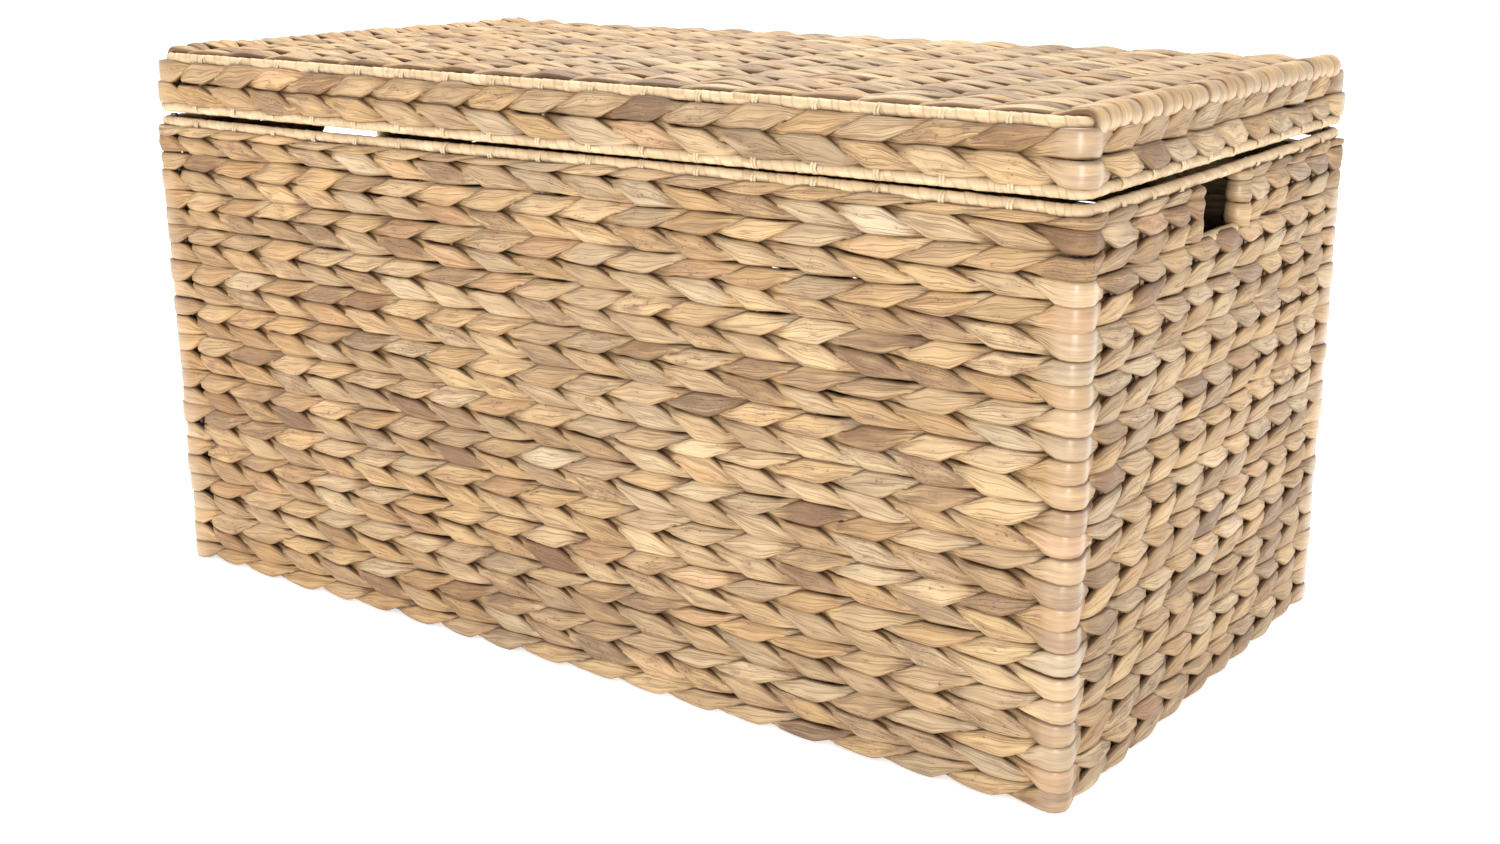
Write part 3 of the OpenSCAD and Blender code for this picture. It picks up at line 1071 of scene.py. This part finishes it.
            fade["flat"] = fade["flat"] * (1 - bulge) + shape.turn_flatness * bulge
            fade["creased"] = 1 - shape.turn_smooth * bulge
            fade["tone"] = fade["tone"] * (1 - 0.5 * bulge) + shape.turn_tone * bulge
            fade["dark"] = fade["dark"] * (1 - bulge) - shape.turn_pressed * bulge
            parts.append((bend, fade))
        centre = np.concatenate([p[0] for p in parts])
        rows = {n: np.concatenate([p[1][n] for p in parts]) for n in FORMS + CHANCES}
        return [self._skin(rows, centre, rows)]


# ---- wound rails ----


@dataclass(frozen=True)
class Winding:
    """Leaf strip wound on a rail, with the steps of its overlapping turns."""

    radius: float = 3.35 * MM
    step: float = 0.34 * MM
    turn: float = 8.2 * MM
    uneven: float = 0.38
    closest: float = 0.45
    widest: float = 2.0
    lumps: float = 0.11 * MM
    spacing: float = 0.95 * MM
    around: int = 12
    seed: int = 5

    def wind(self, path: np.ndarray, closed: bool) -> Skin:
        """Winds the strip along a path.

        Args:
            path: points along the rail, evenly spaced.
            closed: True for a rail that joins its own start.

        Returns:
            The wound tube.
        """
        rng = np.random.default_rng(self.seed)
        count = len(path)
        along = lengths(path)
        total = along[-1] if closed else along[-2]
        turns = round(total / self.turn)
        pace = np.clip(rng.normal(1.0, self.uneven, turns), self.closest, self.widest)
        marks = np.concatenate([[0.0], np.cumsum(pace)])
        wound = np.interp(along / total * marks[-1], marks, np.arange(turns + 1))
        angle = np.linspace(0, 2 * math.pi, self.around + 1)
        turn = wound[:, None] + angle / (2 * math.pi)
        number = np.floor(turn).astype(int)
        part = turn - number
        fat = rng.normal(0.0, self.lumps, turns + 2)
        swell = fat[number % turns]
        reach = self.radius + self.step * (1 - part) ** 1.3 * (part > 0.02) + swell
        forward = tangents(path, closed)
        side = unit(np.cross(forward, UP))
        top = np.cross(side, forward)
        shown = angle[:-1]
        ring = side[:, None] * np.cos(shown)[:, None] + top[:, None] * np.sin(shown)[:, None]
        points = path[:, None] + ring * reach[:count, :-1, None]
        around = np.broadcast_to(angle * self.radius, turn.shape)
        strand = np.stack([turn, around], axis=-1)
        leaf = np.full((*points.shape[:2], 4), 0.5)
        return Skin(points, strand, leaf, closed)


def loop_path(half_l: float, half_d: float, z: float, bend: float, spacing: float) -> np.ndarray:
    """Points along a closed rail with rounded corners, starting mid-front.

    Args:
        half_l: half the length between the end rails' middles.
        half_d: half the depth between the long rails' middles.
        z: the rail's height.
        bend: the corners' radius.
        spacing: the wanted gap between points.

    Returns:
        The points, one a row.
    """
    length, depth, quarter = 2 * (half_l - bend), 2 * (half_d - bend), bend * math.pi / 2
    total = 2 * (length + depth) + 4 * quarter
    count = round(total / spacing)
    s = np.arange(count) / count * total
    marks = np.cumsum([0, length / 2, quarter, depth, quarter, length, quarter, depth, quarter])
    marks = np.append(marks, total + 1)
    xs, ys = np.zeros(count), np.zeros(count)
    centres = [(1, -1), (1, 1), (-1, 1), (-1, -1)]
    headings = [(1, 0), (0, 1), (-1, 0), (0, -1)]
    for i in range(9):
        inside = (s >= marks[i]) & (s < marks[i + 1])
        gone = s[inside] - marks[i]
        if i % 2 == 0:
            k = i // 2 % 4
            away = centres[k - 1] if i else (0, -1)
            start_x = away[0] * (half_l - bend) + (bend * headings[k][1] if i else 0.0)
            start_y = away[1] * (half_d - bend) - (bend * headings[k][0] if i else bend)
            xs[inside] = start_x + headings[k][0] * gone
            ys[inside] = start_y + headings[k][1] * gone
        else:
            k = i // 2
            angle = math.pi * (k - 1) / 2 + gone / bend
            xs[inside] = centres[k][0] * (half_l - bend) + bend * np.cos(angle)
            ys[inside] = centres[k][1] * (half_d - bend) + bend * np.sin(angle)
    return np.stack([xs, ys, np.full(count, z)], axis=-1)


def cord_skin(path: np.ndarray, radius: float, around: int, seed: int, closed: bool) -> Skin:
    """Sweeps a plain round cord along a path that may turn any way.

    Args:
        path: the points, one a row.
        radius: the cord's radius.
        around: how many points go round it.
        seed: where its pattern starts.
        closed: True for a path that joins its own start.

    Returns:
        The tube.
    """
    forward = tangents(path, closed)
    guide = np.where(np.abs(forward[:, :1]) < 0.9, [[1.0, 0.0, 0.0]], [[0.0, 0.0, 1.0]])
    side = unit(np.cross(guide, forward))
    top = np.cross(forward, side)
    angle = np.linspace(0, 2 * math.pi, around, endpoint=False)
    ring = side[:, None] * np.cos(angle)[:, None] + top[:, None] * np.sin(angle)[:, None]
    along = lengths(path)
    steps = np.arange(around + 1) / around * 2 * math.pi * radius
    strand = np.stack(np.broadcast_arrays(along[:, None] + seed, steps[None, :]), axis=-1)
    points = path[:, None] + ring * radius
    return Skin(points, strand, np.full((*points.shape[:2], 4), 0.5), closed)


@dataclass
class Ties:
    """Small pale lashings that hold each stake's end to a rail."""

    material: bpy.types.Material
    wide: float = 4.35 * MM
    tall: float = 3.75 * MM
    shift: float = 0.85 * MM
    thick: float = 0.82 * MM
    broad: float = 1.35
    apart: float = 1.25
    tilt: float = 0.16
    seed: int = 70

    def _ring(self) -> tuple[np.ndarray, list[list[int]]]:
        """Models one turn of a lashing round a rail that runs along Z.

        Returns:
            Its corners and its faces.
        """
        thin = 0.2
        model = added(
            bpy.ops.mesh.primitive_torus_add,
            major_segments=12,
            minor_segments=4,
            major_radius=1.0,
            minor_radius=thin,
        )
        corners = np.array([v.co[:] for v in model.data.vertices])
        faces = [list(f.vertices) for f in model.data.polygons]
        bpy.data.objects.remove(model)
        reach = np.linalg.norm(corners[:, :2], axis=1, keepdims=True)
        spoke = corners[:, :2] / reach
        flat = spoke * [self.wide, self.tall] + spoke * (reach - 1.0) * self.thick / thin
        return np.column_stack([flat, corners[:, 2] * self.broad * self.thick / thin]), faces

    def lash(
        self, name: str, body: Body, spots: np.ndarray, faces_out: np.ndarray, way: float
    ) -> None:
        """Lashes a rail at each spot.

        Args:
            name: the piece's name.
            body: what it moves with.
            spots: the places on the rail, one a row.
            faces_out: the outward direction at each place.
            way: 1 when the leaves are above the rail, and -1 when they are below.
        """
        ring, ring_faces = self._ring()
        rng = np.random.default_rng(self.seed)
        corners, faces = [], []
        for spot, out in zip(spots, faces_out):
            forward = np.cross(UP, out)
            for turn in (-1.0, 1.0):
                along = forward + UP * rng.uniform(-self.tilt, self.tilt)
                grow = rng.uniform(0.96, 1.03)
                place = spot + UP * way * self.shift + forward * turn * self.thick * self.apart
                basis = np.stack([out, UP * way, along])
                moved = (ring * [grow, grow, 1.0]) @ basis + place
                base = len(corners) * len(ring)
                corners.append(moved)
                faces += [[i + base for i in face] for face in ring_faces]
        mesh = bpy.data.meshes.new(name)
        mesh.from_pydata(np.concatenate(corners).tolist(), [], faces)
        mesh.materials.append(self.material)
        piece = bpy.data.objects.new(name, mesh)
        bpy.context.scene.collection.objects.link(piece)
        bpy.ops.object.select_all(action="DESELECT")
        piece.select_set(True)
        bpy.context.view_layer.objects.active = piece
        bpy.ops.object.mode_set(mode="EDIT")
        bpy.ops.mesh.select_all(action="SELECT")
        bpy.ops.mesh.normals_make_consistent(inside=False)
        bpy.ops.object.mode_set(mode="OBJECT")
        bpy.ops.object.shade_smooth()
        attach(piece, body.value)
        log.info("%s: %d lashings", name, len(spots))


def rim_sink(t: np.ndarray) -> np.ndarray:
    """How far the rim rail hangs below its straight place, t bays round the walls."""
    places = [0, 4, 8, 12, 16, 18, 20, 23, 26, 28, 31, 45, 48, 51, BAYS_ROUND]
    drops = [2.6, 3.0, 1.3, 0.3, 0.5, 1.3, 3.0, 3.2, 2.8, 1.5, 0.0, 0.0, 0.8, 1.9, 2.6]
    before, here, after = (np.interp(np.mod(t + i, BAYS_ROUND), places, drops) for i in (-1, 0, 1))
    return (here * 0.5 + (after + before) * 0.25) * MM


# ---- the sub-assemblies ----


@dataclass
class Finishes:
    """Every finish on the trunk, made once."""

    leaf: bpy.types.Material
    strip: bpy.types.Material
    cord: bpy.types.Material
    tie: bpy.types.Material
    wire: bpy.types.Material

    @staticmethod
    def make() -> "Finishes":
        """Makes the five finishes."""
        shadow, light = (0.430, 0.300, 0.170, 1.0), (0.740, 0.595, 0.395, 1.0)
        tie = CordFinish("tie_strip", shadow=shadow, light=light)
        kinds = (LeafFinish(), StripFinish(), CordFinish(), tie, WireFinish())
        return Finishes(*(kind.make() for kind in kinds))

    def dress_packed(self) -> None:
        """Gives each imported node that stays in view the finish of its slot."""
        by_slot = {
            "woven_leaf": self.leaf,
            "rail_wrap": self.strip,
            "stake_cord": self.cord,
            "loop_cord": self.cord,
            "frame_wire": self.wire,
        }
        slots = {p["node"]: p["material_slot"] for p in frame["record"]["subparts"]}
        for name, node in frame["nodes"].items():
            node.data.materials.clear()
            node.data.materials.append(by_slot[slots[name]])


@dataclass
class Panel:
    """A flat woven panel, whose leaves run from end to end and turn back at both ends. Its seeds
    are the first course's, the step to the next course's, and the lines'."""

    name: str
    body: Body
    node: str
    courses: int
    pieces: int
    reach: float
    bay: float
    z: float
    rise: float
    sway: float
    seeds: tuple[int, int, int]
    shape: LeafShape
    overhang: float = 0.0
    end_out: float = 0.0

    def weave(self, finish: bpy.types.Material) -> None:
        """Weaves the panel, some courses to each piece.

        Args:
            finish: the leaves' finish.
        """
        low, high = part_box(self.node)
        pitch = (high[1] - low[1]) / self.courses
        feet = tuple(low[1] + i * pitch for i in range(self.courses + 1))
        first_seed, seed_step, line_seed = self.seeds
        lines = CourseLines(feet, LONG_BAYS * 2, self.sway, line_seed)
        inner = [float(i) for i in range(1, LONG_BAYS)]
        stops = [self.overhang, *inner, LONG_BAYS - self.overhang]
        share = self.courses // self.pieces
        for part in range(self.pieces):
            maker = MeshMaker(f"{self.name}_{part + 1}", finish)
            for number in range(part * share, (part + 1) * share):
                y = low[1] + (number + 0.5) * pitch
                path = PanelPath(self.reach, self.bay, y, self.z, self.rise, high[1])
                twining = Twining(
                    path,
                    lines.pair(number, y),
                    Lean.of(number),
                    first_seed + seed_step * number,
                    BACKWARDS,
                    self.shape,
                )
                maker.add(*twining.end_to_end(stops, self.end_out))
            maker.make(self.body, "woven_leaf", [self.node])


@dataclass
class TrunkBody:
    """The trunk's walls and base of twined leaf, its rim rail and its hand holes."""

    sizes: TrunkSizes
    finishes: Finishes
    courses: int = 24
    sway: float = 1.1 * MM
    courses_a_piece: int = 3
    base_courses: int = 27
    base_lift: float = 1.0 * MM
    base_leaf: LeafShape = LeafShape(
        half_depth=2.4 * MM,
        squeeze=0.9 * MM,
        sweep=3.1 * MM,
        post_sweep=3.4 * MM,
        rings_per_bay=8,
        around=10,
    )
    rod_r: float = 2.5 * MM
    foot_lift: float = 1.5 * MM
    post_margin: float = 5 * MM
    top_tuck: float = 3.6 * MM
    top_clear: float = 4.5 * MM
    clear_over: float = 1.2
    sag_from: int = 17
    sag_over: float = 8.0
    seed: int = 100

    def __post_init__(self) -> None:
        """Works out the path round the walls and the lines between courses."""
        s = self.sizes
        self.path = WallPath(s.half_l, s.half_d, s.bend)
        course = s.hole_foot / s.courses_below_hole
        feet = [i * course for i in range(self.courses + 1)] + [s.wall_top + self.top_tuck]
        feet[0] = self.foot_lift
        self.lines = CourseLines(tuple(feet), BAYS_ROUND, self.sway, self.seed, self._sink)

    def _sink(self, number: int, t: np.ndarray) -> np.ndarray:
        """How far a line between courses follows the rim down, and the top line at the back
        stays lower still, clear of the open lid."""
        share = smooth(np.array((number - self.sag_from) / self.sag_over))
        if number <= self.courses:
            return rim_sink(t) * float(share)
        from_back = np.abs(np.mod(t, BAYS_ROUND) - (1.5 * LONG_BAYS + END_BAYS))
        behind = smooth((LONG_BAYS / 2 + self.clear_over / 2 - from_back) / self.clear_over)
        return rim_sink(t) + self.top_clear * behind

    def _bay_of(self, y: float, left: bool) -> float:
        """Where a place along an end wall is, in bays round."""
        half_d = self.sizes.half_d
        bay = 2 * half_d / END_BAYS
        if left:
            return 2 * LONG_BAYS + END_BAYS + (half_d - y) / bay
        return LONG_BAYS + (y + half_d) / bay

    def _course(self, number: int) -> list[Skin]:
        """The leaves of one course up the walls.

        Args:
            number: which course, from 0 at the foot.

        Returns:
            Its tubes.
        """
        s = self.sizes
        twining = Twining(
            self.path,
            self.lines.pair(number),
            Lean.of(number),
            self.seed + 11 * number,
            UP,
            corners=s.corners,
        )
        if number < s.courses_below_hole:
            return twining.round_course()
        front, back = s.hole_front - self.post_margin, s.hole_back + self.post_margin
        skins = []
        for first, last in (
            (self._bay_of(back, False), self._bay_of(back, True)),
            (self._bay_of(front, True), self._bay_of(front, False) + BAYS_ROUND),
        ):
            inner = [float(i) for i in range(math.ceil(first), math.floor(last) + 1)]
            skins += twining.end_to_end([first, *inner, last])
        return skins

    def weave_walls(self) -> None:
        """Weaves the walls, a few courses to each piece."""
        ends = [f"{side}_weave{part}" for side in ("left", "right") for part in ("", "_front", "_back")]
        stood = ["front_weave", "back_weave", *ends]
        for first in range(0, self.courses + 1, self.courses_a_piece):
            last = min(first + self.courses_a_piece, self.courses + 1)
            maker = MeshMaker(f"wall_leaves_{first // self.courses_a_piece + 1}", self.finishes.leaf)
            for number in range(first, last):
                maker.add(*self._course(number))
            maker.make(Body.TRUNK, "woven_leaf", stood)

    def weave_base(self) -> None:
        """Weaves the base, whose leaves turn back inside the walls."""
        s = self.sizes
        Panel(
            name="base_leaves",
            body=Body.TRUNK,
            node="base_weave",
            courses=self.base_courses,
            pieces=3,
            reach=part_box("base_weave")[1][0],
            bay=s.bay,
            z=s.base_z + self.base_lift,
            rise=0.0,
            sway=0.0,
            seeds=(900, 13, 0),
            shape=self.base_leaf,
        ).weave(self.finishes.leaf)

    def _rail_sink(self, path: np.ndarray) -> np.ndarray:
        """How far the rim rail hangs down at each point of its path."""
        t = np.linspace(0, BAYS_ROUND, BAYS_ROUND * 8, endpoint=False)
        spots, _ = self.path.ground(t, np.zeros_like(t))
        gap = np.linalg.norm(path[:, None, :2] - spots[None, :, :2], axis=2)
        return rim_sink(t[np.argmin(gap, axis=1)])

    def wind_rim(self) -> None:
        """Winds the rim rail, with its rod inside."""
        s = self.sizes
        winding = Winding(seed=11)
        path = loop_path(s.half_l, s.half_d, s.rim_z, s.bend, winding.spacing)
        coarse, reach = 12, 30
        drop = self._rail_sink(path[::coarse])
        drop = np.interp(np.arange(len(path)), np.arange(len(drop)) * coarse, drop)
        kernel = np.ones(2 * reach + 1) / (2 * reach + 1)
        drop = np.convolve(np.concatenate([drop[-reach:], drop, drop[:reach]]), kernel, "valid")
        path[:, 2] -= drop
        maker = MeshMaker("rim_wrapping", self.finishes.strip)
        maker.add(winding.wind(path, closed=True))
        maker.make(Body.TRUNK, "rail_wrap", [f"rim_wrap_{side}" for side in SIDES])
        rod = MeshMaker("rim_rod", self.finishes.wire)
        rod.add(cord_skin(path[::8], self.rod_r, 8, 1, closed=True))
        rod.make(Body.TRUNK, "frame_wire", ["rim_rail"])

    def tie_rim(self) -> None:
        """Lashes the stakes to the rim rail, but not at the back, where the lid swings close."""
        s = self.sizes
        t = np.arange(BAYS_ROUND, dtype=float)
        spots, out = self.path.ground(t, np.zeros_like(t))
        spots[:, 2] = s.rim_z - rim_sink(t)
        keep = [i for i in s.away_from_corners() if out[i, 1] < 0.5]
        keep = [i for i in keep if not s.hole_front < spots[i, 1] < s.hole_back]
        Ties(self.finishes.tie).lash("rim_ties", Body.TRUNK, spots[keep], out[keep], -1.0)

    def wrap_grips(self) -> None:
        """Winds the bar under each hand hole."""
        s = self.sizes
        for side, name in ((1, "right"), (-1, "left")):
            low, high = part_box(f"{name}_grip_wrap")
            winding = Winding(seed=21 + side)
            count = round((high[1] - low[1]) / winding.spacing)
            y = np.linspace(low[1], high[1], count)
            path = np.stack([np.full(count, side * s.half_l), y, np.full(count, s.grip_z)], axis=-1)
            maker = MeshMaker(f"{name}_grip_wrapping", self.finishes.strip)
            maker.add(winding.wind(path, closed=False))
            maker.make(Body.TRUNK, "rail_wrap", [f"{name}_grip_wrap"])


@dataclass
class Lid:
    """The shallow lid: a leaning skirt, a crowned woven top and its two wound rails."""

    sizes: TrunkSizes
    finishes: Finishes
    top_courses: int = 28
    top_lift: float = 0.4 * MM
    top_leaf: LeafShape = LeafShape(half_depth=2.4 * MM, sweep=3.9 * MM, post_sweep=5.7 * MM)
    sway: float = 0.5 * MM
    rise: float = 1.6 * MM
    tuck: float = 1.5 * MM
    seed: int = 500

    def weave_skirt(self) -> None:
        """Weaves the two courses of the skirt, each leaning in to the smaller top rail."""
        s = self.sizes
        low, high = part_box("lid_front_weave")
        middle = (low[2] + high[2]) / 2
        feet = (low[2] - self.tuck, middle, high[2] + self.tuck)
        lines = CourseLines(feet, BAYS_ROUND, self.sway, self.seed)
        maker = MeshMaker("skirt_leaves", self.finishes.leaf)
        inset = (s.half_l - s.lid_l) / (s.lid_top_z - s.lid_z)
        for number in (0, 1):
            height = (lines.feet[number] + lines.feet[number + 1]) / 2
            back = inset * (height - s.lid_z)
            twining = Twining(
                WallPath(s.half_l - back, s.half_d - back, s.bend),
                lines.pair(number),
                Lean.of(number + 1),
                self.seed + 17 * number,
                UP,
                corners=s.corners,
            )
            maker.add(*twining.round_course())
        maker.make(Body.LID, "woven_leaf", [f"lid_{side}_weave" for side in SIDES])

    def weave_top(self) -> None:
        """Weaves the top, whose leaves turn back round the end rails."""
        s = self.sizes
        Panel(
            name="top_leaves",
            body=Body.LID,
            node="lid_top_weave",
            courses=self.top_courses,
            pieces=4,
            reach=s.lid_l,
            bay=s.bay,
            z=s.lid_top_z + self.top_lift,
            rise=self.rise,
            sway=self.sway,
            seeds=(self.seed + 60, 19, self.seed + 40),
            shape=self.top_leaf,
            overhang=LONG_BAYS / 2 - s.lid_l / s.bay,
            end_out=-self.top_lift,
        ).weave(self.finishes.leaf)

    def wind_rails(self) -> None:
        """Winds the lower and the top rail."""
        s = self.sizes
        for name, half_l, half_d, z, seed in (
            ("lid_lower", s.half_l, s.half_d, s.lid_z, 31),
            ("lid_top", s.lid_l, s.lid_d, s.lid_top_z, 37),
        ):
            winding = Winding(seed=seed)
            path = loop_path(half_l, half_d, z, s.bend, winding.spacing)
            maker = MeshMaker(f"{name}_wrapping", self.finishes.strip)
            maker.add(winding.wind(path, closed=True))
            maker.make(Body.LID, "rail_wrap", [f"{name}_wrap_{side}" for side in SIDES])

    def tie_rails(self) -> None:
        """Lashes the skirt's stakes to both rails, but not at the ends of the upper one, where
        leaves turn over it, or at the back of the lower one, which swings close to the wall."""
        s = self.sizes
        for name, half_l, half_d, z, way, seed in (
            ("lid_lower_ties", s.half_l, s.half_d, s.lid_z, 1.0, 71),
            ("lid_top_ties", s.lid_l, s.lid_d, s.lid_top_z, -1.0, 72),
        ):
            t = np.arange(BAYS_ROUND, dtype=float)
            spots, out = WallPath(half_l, half_d, s.bend).ground(t, np.zeros_like(t))
            spots[:, 2] = z
            shown = np.abs(out[:, 0]) < 0.5 if way < 0 else out[:, 1] < 0.5
            keep = [i for i in s.away_from_corners() if shown[i]]
            Ties(self.finishes.tie, seed=seed).lash(name, Body.LID, spots[keep], out[keep], way)


@dataclass
class Hinge:
    """Four loops of cord that are wound round both back rails."""

    sizes: TrunkSizes
    finishes: Finishes
    cord_r: float = 0.78 * MM
    inner: float = 3.72 * MM
    rings_a_turn: int = 28

    def wind(self) -> None:
        """Winds each loop as a few turns of cord beside each other."""
        s = self.sizes
        radius = self.inner + self.cord_r
        lift, half = s.lid_z - s.rim_z, math.pi * radius
        turns = int((s.loop_width - 2 * self.cord_r) // (2 * self.cord_r))
        step = np.arange(turns * self.rings_a_turn + 1) / self.rings_a_turn
        gone = np.mod(step, 1.0) * (2 * lift + 2 * half)
        parts = [gone < half, gone < half + lift, gone < 2 * half + lift]
        low, top = math.pi + gone / radius, (gone - half - lift) / radius
        y = np.select(parts, [radius * np.cos(low), radius, radius * np.cos(top)], -radius)
        rising, falling = gone - half, lift - (gone - 2 * half - lift)
        z = np.select(parts, [radius * np.sin(low), rising, lift + radius * np.sin(top)], falling)
        spread = (step / turns - 0.5) * (s.loop_width - 2 * self.cord_r)
        for number, x in enumerate(s.loop_xs, start=1):
            path = np.stack([x + spread, s.half_d + y, s.rim_z + z], axis=-1)
            maker = MeshMaker(f"hinge_cord_{number}", self.finishes.cord)
            maker.add(cord_skin(path, self.cord_r, 7, number, closed=False))
            maker.make(Body.LID, "loop_cord", [f"hinge_loop_{number}"])


# ---- the studio ----


@dataclass
class Studio:
    """The pale floor, the soft lamps and the camera."""

    floor_size: float = 14.0
    floor_glow: float = 0.58
    aim_z: float = 0.2
    eye: tuple[float, float, float] = (0.7650, -1.0590, 0.4991)
    yaw: float = 35.20
    pitch: float = 16.10
    roll: float = -0.17
    lens: float = 43.70
    sensor: float = 36.0

    def lay_floor(self) -> None:
        """Lays a large pale floor, which glows a little so that it stays pale by the walls."""
        floor = added(bpy.ops.mesh.primitive_plane_add, size=self.floor_size, location=(0, 0, 0))
        floor.name = "studio_floor"
        board = Board("pale_floor")
        grain = board.noise(board.spot(), (14.0,) * 3, 2.0)
        colour = board.mix(grain * 0.1, (0.96, 0.96, 0.957, 1.0), (0.94, 0.94, 0.937, 1.0))
        board.finish(colour, 0.75, grain, 0.02 * MM)
        board.shader.inputs["Emission Color"].default_value = WHITE
        board.shader.inputs["Emission Strength"].default_value = self.floor_glow
        floor.data.materials.append(board.material)

    def hang_lamps(self) -> None:
        """Hangs three soft lamps and lights the room evenly."""
        warm = (1.0, 0.96, 0.84)
        for name, spot, size, power, colour in (
            ("key_lamp", (-0.9, -2.8, 0.3), 1.7, 8.0, WHITE[:3]),
            ("corner_lamp", (1.6, -2.8, 0.45), 0.6, 38.0, WHITE[:3]),
            ("top_lamp", (-0.8, 0.8, 2.9), 2.2, 112.0, warm),
        ):
            lamp = added(bpy.ops.object.light_add, type="AREA", location=spot)
            lamp.name = name
            lamp.data.shape, lamp.data.size, lamp.data.energy = "SQUARE", size, power
            lamp.data.color = colour
            aim = Vector((0, 0, self.aim_z)) - Vector(spot)
            lamp.rotation_euler = aim.to_track_quat("-Z", "Y").to_euler()
        world = bpy.data.worlds.new("room")
        world.use_nodes = True
        background = world.node_tree.nodes["Background"]
        background.inputs["Color"].default_value = WHITE
        background.inputs["Strength"].default_value = 1.0
        bpy.context.scene.world = world
        bpy.context.scene.view_settings.view_transform = "Standard"

    def set_camera(self) -> None:
        """Stands the camera before the trunk's near right corner."""
        yaw, pitch, roll = (math.radians(a) for a in (self.yaw, self.pitch, self.roll))
        ahead = Vector((-math.sin(yaw) * math.cos(pitch), math.cos(yaw) * math.cos(pitch),
                        -math.sin(pitch)))
        right = ahead.cross(Vector((0, 0, 1))).normalized()
        top = right.cross(ahead)
        side = right * math.cos(roll) + top * math.sin(roll)
        top = top * math.cos(roll) - right * math.sin(roll)
        camera = added(bpy.ops.object.camera_add)
        camera.name = "camera"
        turned = Matrix((side, top, -ahead)).transposed().to_4x4()
        camera.matrix_world = Matrix.Translation(Vector(self.eye)) @ turned
        camera.data.lens, camera.data.sensor_width = self.lens, self.sensor
        camera.data.clip_start, camera.data.clip_end = 0.02, 60.0
        bpy.context.scene.camera = camera


def main() -> None:
    """Builds the trunk and its studio, piece by piece."""
    logging.basicConfig(level=logging.INFO, format="%(name)s %(message)s")
    studio = Studio()
    studio.set_camera()
    studio.lay_floor()
    studio.hang_lamps()
    sizes = TrunkSizes.read()
    finishes = Finishes.make()
    finishes.dress_packed()
    trunk = TrunkBody(sizes, finishes)
    trunk.weave_walls()
    trunk.weave_base()
    trunk.wind_rim()
    trunk.tie_rim()
    trunk.wrap_grips()
    lid = Lid(sizes, finishes)
    lid.weave_skirt()
    lid.weave_top()
    lid.wind_rails()
    lid.tie_rails()
    Hinge(sizes, finishes).wind()


if __name__ == "__main__":
    main()
